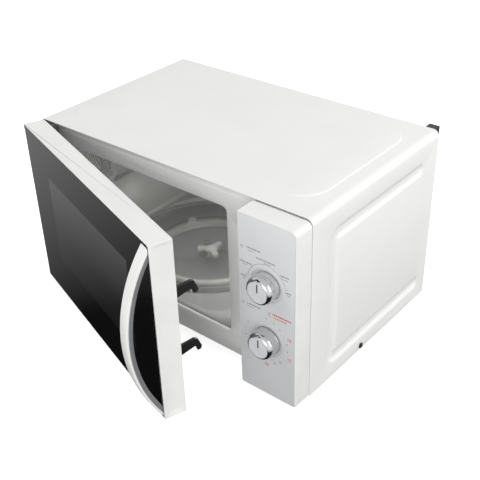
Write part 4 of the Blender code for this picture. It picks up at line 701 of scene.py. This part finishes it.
# %% Tray
TRAY_Z, RIM, FLAT = 47.1, 122.5, 95.0
profile = [(0, 0), (86.5, 0), (87.5, -0.25), (94.5, -0.25), (95.5, 0.1), (FLAT + 8, 1.9), (FLAT + 13, 3.5),
           (RIM - 4, 6.2), (RIM - 1.4, 7.0), (RIM - 0.3, 7.9), (RIM, 9.0), (RIM - 0.4, 10.0), (RIM - 1.4, 10.5),
           (RIM - 2.6, 10.3), (FLAT + 14, 6.6), (FLAT + 8, 5.0), (FLAT + 2, 3.8), (FLAT - 1, 3.5),
           (FLAT - 2.5, 3.3), (60, 3.3), (58, 3.5), (26, 3.5), (24, 3.3), (0, 3.3)]
bm = bmesh.new()
spin(bm, "Z", (*TURN, TRAY_Z), profile, 96)
for i in range(3):                          # the lugs
    angle = math.tau * (i + 0.5) / 3 + math.pi / 2
    along = Vector((math.cos(angle), math.sin(angle)))
    across = Vector((-along.y, along.x)) * 4
    middle = Vector(TURN)
    lug = [tuple(middle + along * r + across * s) for r, s in ((12.5, -1), (22, -1), (22, 1), (12.5, 1))]
    solid(bm, "Z", TRAY_Z - 4, TRAY_Z + 0.4, lug)
piece("tray_glass", bm, clear_glass, "turntable", ("glass_tray",), angle=25)

# %% [markdown]
# ## Door frame
#
# The door is a white moulding that holds the glass.  Its free edge is scooped: the middle of that side is
# set back a little, with a rim left at the top, the bottom and behind, so that fingers find the edge.  The
# frame is drawn shut and placed ajar with the door's own placement.

# %% Door frame
DOOR_X = (LEFT, 138.8)
DOOR_Z = (18.5, 255.8)
FRONT, REAR = -29.0, -1.2
LIP, WALL = 0.8, 2.2
GLASS_BACK, WEB_BACK = FRONT + 3.2, FRONT + 5.7
REBATE = GLASS_BACK + 0.3                   # the glass lies just in front of this step


def frame_side():
    """Section of the scooped side as (set-back, y), from the front to the back."""
    return [(0.0, FRONT), (0.0, FRONT + 2.2), (0.5, FRONT + 4.0), (1.3, FRONT + 7.0), (1.7, FRONT + 12.0),
            (1.7, FRONT + 17.0), (1.5, FRONT + 21.5), (1.0, FRONT + 24.2), (0.2, FRONT + 25.8), (0.0, REAR)]


def scoop_levels():
    """Height and depth of the scoop: full in the middle, none at the top and bottom rims."""
    low, high = DOOR_Z
    rows = [(low, 0.0), (low + 1.2, 0.0), (low + 3.0, 0.25), (low + 5.5, 0.7), (low + 9.0, 1.0)]
    rows += [(low + 60, 1.0), ((low + high) / 2, 1.0), (high - 60, 1.0)]
    return rows + [(high - 7.0, 1.0), (high - 4.4, 0.75), (high - 2.6, 0.3), (high - 1.2, 0.0), (high, 0.0)]


bm = bmesh.new()
left, right = DOOR_X
loops = []
for z, share in scoop_levels():
    inner = [(right - WALL - 1.9, y) for _, y in reversed(frame_side())]
    outer = [(right - back * share, y) for back, y in frame_side()]
    loops.append(at("Z", z, outer + inner))
rows = loft(bm, loops)
bm.faces.new(rows[0])
bm.faces.new(rows[-1])
piece("door_frame_scoop", bm, white_abs, "door", ("door_frame",), DOOR, edge=0.5)

bm = bmesh.new()
CHAMFER, LAP = 4.0, 0.06
for end, inwards in ((DOOR_Z[0], 1), (DOOR_Z[1], -1)):
    lip, wall = end + inwards * LIP, end + inwards * WALL
    outline = [(FRONT, end), (FRONT, lip), (REBATE, lip), (REBATE, wall), (REAR, wall), (REAR, end)]
    solid(bm, "X", left + LIP, right - WALL + 0.2, outline)
hinge_side = [(left, FRONT), (left + LIP, FRONT), (left + LIP, REBATE), (left + WALL, REBATE),
              (left + WALL, REAR - CHAMFER - 1.2), (left + WALL + 3.0, REAR), (left + CHAMFER, REAR),
              (left, REAR - CHAMFER)]
notches = (DOOR_Z[0] + WALL, DOOR_Z[0] + WALL + 4), (DOOR_Z[1] - WALL - 4, DOOR_Z[1] - WALL)
solid(bm, "Z", notches[0][1], notches[1][0], hinge_side)
TIP_BACK = -21.5                            # in front of the hinge plates
tip = hinge_side[:4] + [(left + WALL, TIP_BACK), (left, TIP_BACK)]
for low, high in ((DOOR_Z[0], notches[0][1]), (notches[1][0], DOOR_Z[1])):
    solid(bm, "Z", low, high, tip)
for z in (DOOR_Z[0], DOOR_Z[1] - WALL):
    solid(bm, "Z", z + LAP, z + WALL - LAP, hinge_side)
piece("door_frame_rim", bm, white_abs, "door", (), DOOR, edge=0.4)

bm = bmesh.new()
wx0, wx1, wz0, wz1 = WINDOW
opening = [(wx0, wz0), (wx1, wz0), (wx1, wz1), (wx0, wz1)]
sheet = [(left + WALL - 0.3, DOOR_Z[0] + WALL - 0.3), (right - WALL - 1.6, DOOR_Z[0] + WALL - 0.3),
         (right - WALL - 1.6, DOOR_Z[1] - WALL + 0.3), (left + WALL - 0.3, DOOR_Z[1] - WALL + 0.3)]
pierced(bm, "Y", REBATE, WEB_BACK, sheet, [opening])
PIN_X, PIN_Y = -209.0, -12.0
for low, high in ((notches[0][1], notches[0][1] + 18), (notches[1][0] - 18, notches[1][0])):
    ring = circle(PIN_X, PIN_Y, 3.3, 24)
    case = rounded(left + WALL - 0.4, PIN_X + 9, WEB_BACK, PIN_Y + 8, 1.0, 5)
    pierced(bm, "Z", low, high, case, [ring])
for z in (124.15, 156.15):
    block(bm, LATCH_X + 2.3, right - WALL - 1.7, WEB_BACK + 2, REAR - 6, z - 5, z + 5)
for i in range(5):
    z = DOOR_Z[0] + 34 + i * 42
    block(bm, left + WALL - 0.2, left + WALL + 7, WEB_BACK - 0.2, REAR - 8, z, z + 1.4)
piece("door_frame_web", bm, white_abs, "door", (), DOOR, edge=0.25)

# %% [markdown]
# ## Door glass, screen and inner ring
#
# The glass covers the whole front, with a ground edge.  Behind it sits the pressed screen, whose shallow
# field carries the holes, and a grey ring covers the choke round it.  The ring has the slots for the hooks.

# %% Glass and inner ring
bm = bmesh.new()
edge = LIP + 0.3
pane = rounded(left + edge, right - edge, DOOR_Z[0] + edge, DOOR_Z[1] - edge, 1.4, 5)
solid(bm, "Y", FRONT, GLASS_BACK, pane)
piece("door_glass_pane", bm, printed_glass, "door", ("door_glass",), DOOR, edge=0.45)

bm = bmesh.new()
sx0, sx1, sz0, sz1 = PIN_X + 12, LATCH_X - 10, DOOR_Z[0] + 12, DOOR_Z[1] - 12
sy0, sy1 = -12.25, REAR - 2.5


def screen_outline(offset):
    """The screen's own outline."""
    return rounded(sx0 - offset, sx1 + offset, sz0 - offset, sz1 + offset, 8 + offset, 6)


def dish_outline(offset):
    """Its pressed field, a little larger than the window."""
    return rounded(wx0 - 2 - offset, wx1 + 2 + offset, wz0 - 2 - offset, wz1 + 2 + offset, 6 + offset, 6)


rim = [(-1.0, sy1), (-1.0, sy0 + 2.0), (-1.3, sy0 + 1.1), (-2.0, sy0 + 0.9), (-6, sy0 + 0.9)]
loft(bm, [at("Y", y, screen_outline(out)) for out, y in rim])
pressed = [(0.0, sy0 + 0.9), (-0.8, sy0 + 1.1), (-2.0, sy0 + 2.0), (-3.2, sy0 + 2.9), (-4.2, sy0 + 3.1)]
dish = [at("Y", y, dish_outline(out)) for out, y in pressed]
flat(bm, at("Y", sy0 + 0.9, screen_outline(-6)), [dish[0]])
loft(bm, dish)
flat(bm, dish[-1])
screen = piece("screen_pressing", bm, screen_paint, "door", ("door_screen",), DOOR, angle=30)
facing(screen, (wx0 + 40, sy0 + 3, 140), (0, 1, 0))
thicken(screen, 0.6)

bm = bmesh.new()
cover_back = REAR - 0.3
ring_out = rounded(PIN_X + 23, right - WALL - 2.1, DOOR_Z[0] + 2.5, DOOR_Z[1] - 2.5, 3, 5)
ring_in = rounded(wx0 - 10, wx1 + 10, wz0 - 10, wz1 + 10, 8, 5)
hook_slots = [rounded(LATCH_X - 3, LATCH_X + 3, z - 8, z + 12, 1.2, 3) for z in HOOKS]
pierced(bm, "Y", cover_back, cover_back - 1.9, ring_out, [ring_in, *hook_slots])
piece("door_choke_ring", bm, grey_pp, "door", ("door_inner_cover",), DOOR, edge=0.3)

# %% [markdown]
# ## Handle
#
# The handle is a bow of moulded plastic.  Its face is a smooth white band; the side towards the free edge
# is a separate strip with two long grooves that run the whole bow, and its grey is painted shade of that side.
# Both follow the same two arcs, so the band is swept through sections at even angles instead of being cut
# from a block.

# %% Handle
H_LOW, H_HIGH, BOW, THICK = DOOR_Z[0] + 4, DOOR_Z[1] - 4, 35.0, 8.5
H_LEFT, H_RIGHT = right - 18.0, right - 2.0
SEAT = FRONT - 0.3
half_chord, middle_z = (H_HIGH - H_LOW) / 2, (H_HIGH + H_LOW) / 2
outer_r = (half_chord ** 2 + BOW ** 2) / (2 * BOW)
centre_y = SEAT - BOW + outer_r
turn_out = math.asin(half_chord / outer_r)
turn_in = math.acos((centre_y - SEAT) / (outer_r - THICK))


def bow_point(x, depth, t):
    """Point of the bow: depth 0 on the outer arc, 1 on the inner; t from -1 to 1 along it."""
    r = outer_r - THICK * depth
    angle = t * (turn_out + (turn_in - turn_out) * depth)
    return Vector((x, centre_y - r * math.cos(angle), middle_z + r * math.sin(angle)))


def sweep_bow(section):
    """Carry a section of (x, depth) along the bow."""
    bm = bmesh.new()
    rows = loft(bm, [[bow_point(x, depth, t / 24) for x, depth in section] for t in range(-24, 25)])
    bm.faces.new(rows[0])
    bm.faces.new(rows[-1])
    return bm


band = [(H_LEFT, 0.30), (H_LEFT + 0.5, 0.12), (H_LEFT + 1.6, 0.02), (H_LEFT + 5, 0.0), (H_RIGHT - 5, 0.0),
        (H_RIGHT - 1.6, 0.02), (H_RIGHT - 0.5, 0.10), (H_RIGHT, 0.24), (H_RIGHT, 0.36), (H_LEFT, 0.36)]
piece("handle_band", sweep_bow(band), white_abs, "door", ("door_handle",), DOOR, angle=30)
x = H_RIGHT
grip = [(x - 1.0, 0.38), (x - 0.3, 0.38), (x - 0.1, 0.44), (x - 0.1, 0.55), (x - 0.9, 0.58), (x - 0.9, 0.63),
        (x - 0.1, 0.66), (x - 0.1, 0.76), (x - 0.9, 0.79), (x - 0.9, 0.84), (x - 0.2, 0.87), (x - 0.4, 0.96),
        (x - 1.4, 1.0), (H_LEFT + 1.4, 1.0), (H_LEFT + 0.3, 0.93), (H_LEFT + 0.1, 0.38)]
# The grip's grey is painted shade of the handle's side.
piece("handle_grip", sweep_bow(grip), handle_side_painted_shade, "door", (), DOOR, angle=25)

# %% [markdown]
# ## Control panel
#
# The panel is a white box moulding with generously rounded front edges; only its top right corner follows
# the cover's fold.  Its face is recessed for the silver film.  The film has a shallow dish pressed round
# each dial, which is what draws the thin dark and light arcs beside the knobs.

# %% Panel moulding
PANEL = (140.0, RIGHT, 15.5, 255.8)
DIAL_X, POWER_Z, TIMER_Z = 180.0, 174.0, 97.5


def panel_outline(inset, small=1.6):
    """The panel's front outline; its top right corner follows the cover."""
    x0, x1, z0, z1 = PANEL
    tight = max(small - inset * 0.5, 0.5)
    corners = (tight, tight, max(7.9 - inset, 1), tight)
    return rounded(x0 + inset, x1 - inset, z0 + inset, z1 - inset, corners, 8)


bm = bmesh.new()
ROUNDING = 2.6
curve = [math.pi / 2 * i / 6 for i in range(7)]
skin = [at("Y", FRONT + 1.9, panel_outline(1.1)), at("Y", FRONT + 0.35, panel_outline(1.1)),
        at("Y", FRONT + 0.05, panel_outline(1.0))]
skin += [at("Y", FRONT + ROUNDING * (1 - math.cos(t)) * 0.9, panel_outline(0.95 * (1 - math.sin(t))))
         for t in curve]
skin += [at("Y", -6.0, panel_outline(0)), at("Y", -1.4, panel_outline(0)), at("Y", -1.1, panel_outline(0.3))]
skin += [at("Y", -1.1, panel_outline(1.5)), at("Y", 7.7, panel_outline(1.5)), at("Y", 7.7, panel_outline(3.2)),
         at("Y", FRONT + 3.6, panel_outline(3.2))]
rows = loft(bm, skin)
SHAFT_BORE = 4.2
bores = [circle(DIAL_X, z, SHAFT_BORE, 24) for z in (POWER_Z, TIMER_Z)]
flat(bm, skin[0], [at("Y", FRONT + 1.9, bore) for bore in bores])
flat(bm, skin[-1], [at("Y", FRONT + 3.6, bore) for bore in bores])
for bore in bores:
    loft(bm, [at("Y", FRONT + 1.9, bore), at("Y", FRONT + 3.6, bore)])
piece("panel_moulding", bm, white_abs, "cabinet", ("control_panel",), angle=28)

# %% Silver film with its dishes
bm = bmesh.new()
DISH, FILM_Y = 21.5, FRONT + 0.12
sections = [(0.35, 0.0), (0.12, 0.06), (0.0, 0.2), (-0.18, 0.8), (-0.32, 1.08), (-0.7, 1.18), (-6.0, 1.2),
            (SHAFT_BORE - DISH, 1.2)]
rims = []
for z in (POWER_Z, TIMER_Z):
    rings = [at("Y", FILM_Y + depth, circle(DIAL_X, z, DISH + grow, 72)) for grow, depth in sections]
    loft(bm, rings)
    rims.append(rings[0])
flat(bm, at("Y", FILM_Y, panel_outline(1.35)), rims)
loft(bm, [at("Y", FILM_Y, panel_outline(1.35)), at("Y", FILM_Y + 1.4, panel_outline(1.35))])
film = piece("panel_film", bm, silver_film, "cabinet", ("control_fascia",), angle=25)
facing(film, (150, FILM_Y, 40), (0, -1, 0))

# %% [markdown]
# ## Printing on the film
#
# The real panel carries words for its power levels and a scale of minutes.  No wording is copied: levels
# are shown with rows of dots and dashes, and the timer with plain numbers.  Each mark is a thin raised
# layer of ink, as screen printing leaves, and stands a twentieth of a millimetre off the film.

# %% Ink marks
INK_Y = FILM_Y - 0.05


def ink(bm, outline):
    """One printed mark."""
    solid(bm, "Y", INK_Y, FILM_Y + 0.02, outline)


def ink_bar(bm, x, z, length, height):
    ink(bm, rounded(x, x + length, z - height / 2, z + height / 2, height * 0.3, 2))


def ink_arc(bm, x, z, radius, start, end, width):
    steps = max(int(abs(end - start) / 4), 2)
    ink(bm, arc(x, z, radius + width / 2, start, end, steps) + arc(x, z, radius - width / 2, end, start, steps))


def ink_tick(bm, x, z, angle, inner, outer, width):
    a = math.radians(angle)
    along, across = Vector((math.cos(a), math.sin(a))), Vector((-math.sin(a), math.cos(a))) * width / 2
    middle = Vector((x, z))
    corners = (middle + along * inner - across, middle + along * outer - across,
               middle + along * outer + across, middle + along * inner + across)
    ink(bm, [tuple(c) for c in corners])


def dashes(bm, x, z, total, height, parts):
    """A row of short marks with the length and weight of a printed caption."""
    length = total / parts
    for i in range(parts):
        ink_bar(bm, x + i * length, z, length * (0.80 if i % 3 else 0.62), height)


bm = bmesh.new()
ink_arc(bm, DIAL_X, POWER_Z, 26.5, 12, 171, 0.45)
for angle, reach in ((171, 30), (140, 29.5), (96, 29.5), (42, 29.5), (12, 29.5)):
    ink_tick(bm, DIAL_X, POWER_Z, angle, 26.5, reach, 0.45)
# captions in bold and the smaller line under each, as (left end, height, length, number of marks)
bold = ((152.2, 214.4, 19.5, 9), (165.8, 205.4, 26.5, 12), (142.6, 193.6, 16.8, 8), (143.4, 174.8, 8.6, 4),
        (198.2, 195.4, 12.6, 6), (205.6, 175.9, 8.4, 4), (151.5, 138.4, 19.5, 9))
small = ((154.2, 210.9, 8.4, 5), (177.0, 202.6, 9.4, 5), (147.0, 190.6, 7.0, 4), (145.2, 171.4, 4.6, 3),
         (201.6, 191.6, 8.0, 4), (207.4, 172.7, 5.4, 3), (151.5, 134.9, 9.5, 5))
for height, captions in ((1.7, bold), (0.9, small)):
    for x, z, total, parts in captions:
        dashes(bm, x, z, total, height, parts)
for x, z in ((146.4, 213.2), (146.0, 137.4)):
    ink_arc(bm, x, z, 2.0, 0, 359, 0.4)
    ink_bar(bm, x - 1.0, z, 2.0, 0.5)
for angle in range(-80, 190, 15):
    ink_tick(bm, DIAL_X, TIMER_Z, angle, 24.4, 26.0 if angle % 2 else 25.4, 0.35)
piece("film_marks_grey", bm, grey_ink, "cabinet")

bm = bmesh.new()
dashes(bm, 187.9, 138.5, 26.0, 1.9, 11)
dashes(bm, 189.8, 134.4, 17.8, 1.2, 9)
ink_arc(bm, 183.9, 136.3, 2.2, 30, 330, 0.5)
piece("film_marks_red", bm, red_ink, "cabinet")


# %% Timer numbers
def numeral(text, angle, radius, size, colour, index):
    """A number set upright beside the timer's scale, made as flat type and given thickness."""
    curve = bpy.data.curves.new("numeral", "FONT")
    curve.body = text
    curve.size = size * MM
    curve.extrude = 0.03 * MM
    curve.resolution_u = 3
    curve.align_x, curve.align_y = "CENTER", "CENTER"
    source = placed("numeral", curve)
    mesh = bpy.data.meshes.new_from_object(source.evaluated_get(bpy.context.evaluated_depsgraph_get()))
    bpy.data.objects.remove(source)
    ob = placed(f"timer_number_{index}", mesh)
    a = math.radians(angle)
    spot = Vector((DIAL_X + radius * math.cos(a), INK_Y + 0.02, TIMER_Z + radius * math.sin(a))) * MM
    ob.matrix_world = CABINET @ Matrix.Translation(spot) @ Matrix.Rotation(math.pi / 2, 4, "X")
    mesh.materials.clear()
    mesh.materials.append(colour)
    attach(ob, "cabinet")


# number, angle and distance from the timer's axis
scale = (("0", 190, 31.5), ("1", 171, 31.5), ("2", 153, 31), ("4", 92, 30.9), ("5", 71, 30.5), ("6", 52.5, 30),
         ("7", 33, 28.5), ("8", 13.7, 28.8), ("9", -6.4, 28.8), ("20", -50.8, 30), ("25", -71, 31))
for i, (text, angle, radius) in enumerate(scale):
    numeral(text, angle, radius, 3.8, grey_ink, i)
for i, (text, angle, radius) in enumerate((("10", 25.7, 34.4), ("15", -23.3, 34.0), ("30", -92, 35.5))):
    numeral(text, angle, radius, 6.0, red_ink, 20 + i)

# %% [markdown]
# ## Knobs
#
# Each knob has a plated side and a satin face set in a thin bright rim, with a flared foot.  Its shoulder
# is well rounded, which gives the bright ring round the face.  The pointer is a dark groove from just below
# the middle to near the rim.  A knob is modelled round its own axis, so its rings are centred, and it
# rides on its dial's body to turn with it.

# %% Knobs
FACE_R, FACE_Y = 13.4, -16.75
for name, z in (("power", POWER_Z), ("timer", TIMER_Z)):
    spot = CABINET @ Matrix.Translation(Vector((DIAL_X, SEAT, z)) * MM)
    side = [(4.2, 0), (18.3, 0), (18.3, -0.9), (18.0, -1.5), (17.75, -2.4), (17.6, -6), (17.5, -11.0),
            (17.3, -12.6), (16.9, -13.9), (16.2, -15.2), (15.4, -16.1), (14.6, -16.7), (14.0, -16.95),
            (13.75, -16.97), (13.6, -16.8), (13.5, -16.3), (13.45, -15.3), (4.2, -15.2), (4.2, 0)]
    bm = bmesh.new()
    spin(bm, "Y", (0, 0, 0), side, 72)
    piece(name + "_knob_side", bm, chrome, name + "_dial", (name + "_knob",), spot, angle=32)
    bm = bmesh.new()
    groove = rounded(-0.95, 0.95, -0.5, 11.2, 0.9, 4)
    face = circle(0, 0, FACE_R, 72)
    flat(bm, at("Y", FACE_Y, face), [at("Y", FACE_Y, groove)])
    loft(bm, [at("Y", FACE_Y, face), at("Y", FACE_Y + 0.9, face)])
    loft(bm, [at("Y", FACE_Y, groove), at("Y", FACE_Y + 0.5, groove)])
    piece(name + "_knob_face", bm, satin_silver, name + "_dial", (), spot, angle=30)
    bm = bmesh.new()
    solid(bm, "Y", FACE_Y + 0.25, FACE_Y + 0.85, groove)
    piece(name + "_knob_pointer", bm, dark_ink, name + "_dial", (), spot)

# %% [markdown]
# ## Parts that keep their CAD shape
#
# Hooks, hinges, feet, rollers and everything in the electrical bay are already the right shape.  They keep
# their CAD mesh and take the finish of their material slot.  Plastic, rubber and zinc-coated parts also
# get a small edge radius, because no moulding or folded sheet has a knife edge.

# %% Finishes for the CAD pieces
slot_finish = {
    "white_enamel": powder_paint, "cavity_paint": oven_paint, "white_plastic": white_pom,
    "silver_film": silver_film, "knob_silver": chrome, "black_plastic": black_nylon,
    "grey_plastic": grey_pp, "cream_plastic": natural_pbt, "dark_glass": printed_glass,
    "clear_glass": clear_glass, "galvanised": zinc_sheet, "bright_steel": drawn_steel,
    "lamination": laminated_core, "copper_winding": magnet_wire, "mica": mica_sheet,
    "rubber": rubber_foot, "circuit_board": filter_resin,
}
edge_radius = {"black_plastic": 0.5, "rubber": 0.8, "white_plastic": 0.35, "cream_plastic": 0.3,
               "grey_plastic": 0.3, "galvanised": 0.2}
slot_of = {part["node"]: part["material_slot"] for part in frame["record"]["subparts"]}
kept = [ob for ob in frame["nodes"].values() if not ob.hide_render]
for ob in kept:
    slot = slot_of[ob["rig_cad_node"]]
    ob.data.materials.clear()
    ob.data.materials.append(slot_finish[slot])
    if slot in edge_radius and "spring" not in ob.name:
        soften(ob, edge_radius[slot], 2, 50)
print("CAD pieces kept:", len(kept))

# %% [markdown]
# ## Studio
#
# A white product studio.  The oven stands on a pale, evenly lit table.  The surround is bright above and at
# eye level and falls off to dark below, as it does round a raised table, and that is what the door's glass
# and the silver film mirror: lighter near their tops, dark near their feet.

# %% Table
def flat_square(name, half_size, material):
    """A level square of so many metres each way, for the table and the card."""
    mesh = bpy.data.meshes.new(name)
    bm = bmesh.new()
    bmesh.ops.create_grid(bm, x_segments=2, y_segments=2, size=half_size)
    bm.to_mesh(mesh)
    bm.free()
    mesh.materials.append(material)
    return placed(name, mesh)


table_paint, tree, shader = finish("matt_white_studio_table", "#E8E8E8", 0.9, emission_strength=0.80)
shader.inputs["Emission Color"].default_value = linear("#FFFFFF")
table = flat_square("studio_table", 3.0, table_paint)
table.visible_diffuse = False
table.visible_glossy = False

# %% Surround
world = bpy.data.worlds.new("studio_surround")
bpy.context.scene.world = world
world.use_nodes = True
tree = world.node_tree
up = node(tree, "SeparateXYZ", {"Vector": node(tree, "TexCoord").outputs["Generated"]}).outputs["Z"]
share = node(tree, "MapRange", {"Value": up, "From Min": -1.0, "From Max": 1.0}).outputs["Result"]
levels = ((0.0, 0.02), (0.205, 0.02), (0.285, 0.58), (0.35, 0.85), (0.52, 1.0), (1.0, 0.70))
sky = ramp(tree, share, [(position, (level, level, level, 1)) for position, level in levels])
tree.links.new(sky, tree.nodes["Background"].inputs["Color"])
tree.nodes["Background"].inputs["Strength"].default_value = 1.0

# %% [markdown]
# ## Lights
#
# A key light stands above and behind the right side and skims the pressed top, so its steps show.  Two
# broad ones light the right side and the front softly.  The oven's own lamp glows inside, as it does
# whenever the door is open.  It is a small bulb with a soft edge, so no wall gets a hard line of light.

# %% Lights
def soft_light(name, place, aim, size, power):
    """Square light in metres and watts, turned towards a point."""
    lamp = bpy.data.lights.new(name, "AREA")
    lamp.shape = "SQUARE"
    lamp.size = size
    lamp.energy = power
    ob = placed(name, lamp)
    ob.location = place
    ob.rotation_euler = (Vector(aim) - Vector(place)).to_track_quat("-Z", "Y").to_euler()


soft_light("key_softbox", (1.15, 0.55, 0.85), (0, 0.05, 0.2), 0.5, 3.5)
soft_light("right_softbox", (1.7, 0.3, 0.75), (0.2, 0.05, 0.12), 1.2, 3.0)
soft_light("front_softbox", (0.7, -1.65, 0.6), (0.12, 0, 0.13), 0.9, 6.5)
bulb = bpy.data.lights.new("oven_lamp_glow", "POINT")
bulb.shadow_soft_size = 0.03
bulb.energy = 0.62
placed("oven_lamp_glow", bulb).location = CABINET @ Vector((0.02, 0.10, 0.175))

# %% [markdown]
# ## Black card
#
# Polished metal in a white room looks like white plastic.  Studios put up a black card for it to mirror,
# and the chrome of the knobs gets its dark streaks from this one.  It hangs up on the left, faces the
# knobs, and shows in mirrors alone: it casts no shadow and is never seen itself.

# %% Black card
black_card, tree, shader = finish("matt_black_card", "#050505", 1.0)
flag = flat_square("black_flag", 0.55, black_card)
toward, FLAG_DISTANCE = Vector((-0.545, -0.53, 0.65)), 1.5
flag.location = CABINET @ Vector((0.18, -0.045, 0.14)) + toward * FLAG_DISTANCE
flag.rotation_euler = toward.to_track_quat("Z", "Y").to_euler()
flag.visible_camera = False
flag.visible_diffuse = False
flag.visible_shadow = False

# %% [markdown]
# ## Camera
#
# The oven is seen from its front right and from above, at about a metre.  The angles, the distance and the
# lens are those that make the corners of cabinet, panel and door fall where they should.  The camera is
# rolled by not quite two degrees, so upright edges lean a little.

# %% Camera
AZIMUTH, ELEVATION, ROLL_ANGLE = math.radians(40.41), math.radians(32.37), math.radians(-1.78)
DISTANCE, FOCAL_MM, SENSOR_MM = 0.9526, 63.555, 36
target = CABINET.translation + Vector((0.12709, -0.00916, BASE * MM + 0.19004))
back = Vector((math.sin(AZIMUTH) * math.cos(ELEVATION), -math.cos(AZIMUTH) * math.cos(ELEVATION),
               math.sin(ELEVATION)))
right_level = Vector((math.cos(AZIMUTH), math.sin(AZIMUTH), 0))
up_level = back.cross(right_level)
right_way = right_level * math.cos(ROLL_ANGLE) + up_level * math.sin(ROLL_ANGLE)
up_way = -right_level * math.sin(ROLL_ANGLE) + up_level * math.cos(ROLL_ANGLE)
lens = bpy.data.cameras.new("studio_camera")
lens.lens = FOCAL_MM
lens.sensor_width = SENSOR_MM
lens.clip_start = 0.01
camera = placed("studio_camera", lens)
turn = Matrix((right_way, up_way, back)).transposed().to_4x4()
camera.matrix_world = Matrix.Translation(target + back * DISTANCE) @ turn
bpy.context.scene.camera = camera
bpy.context.scene.view_settings.view_transform = "Standard"
bpy.context.scene.view_settings.exposure = 0.0
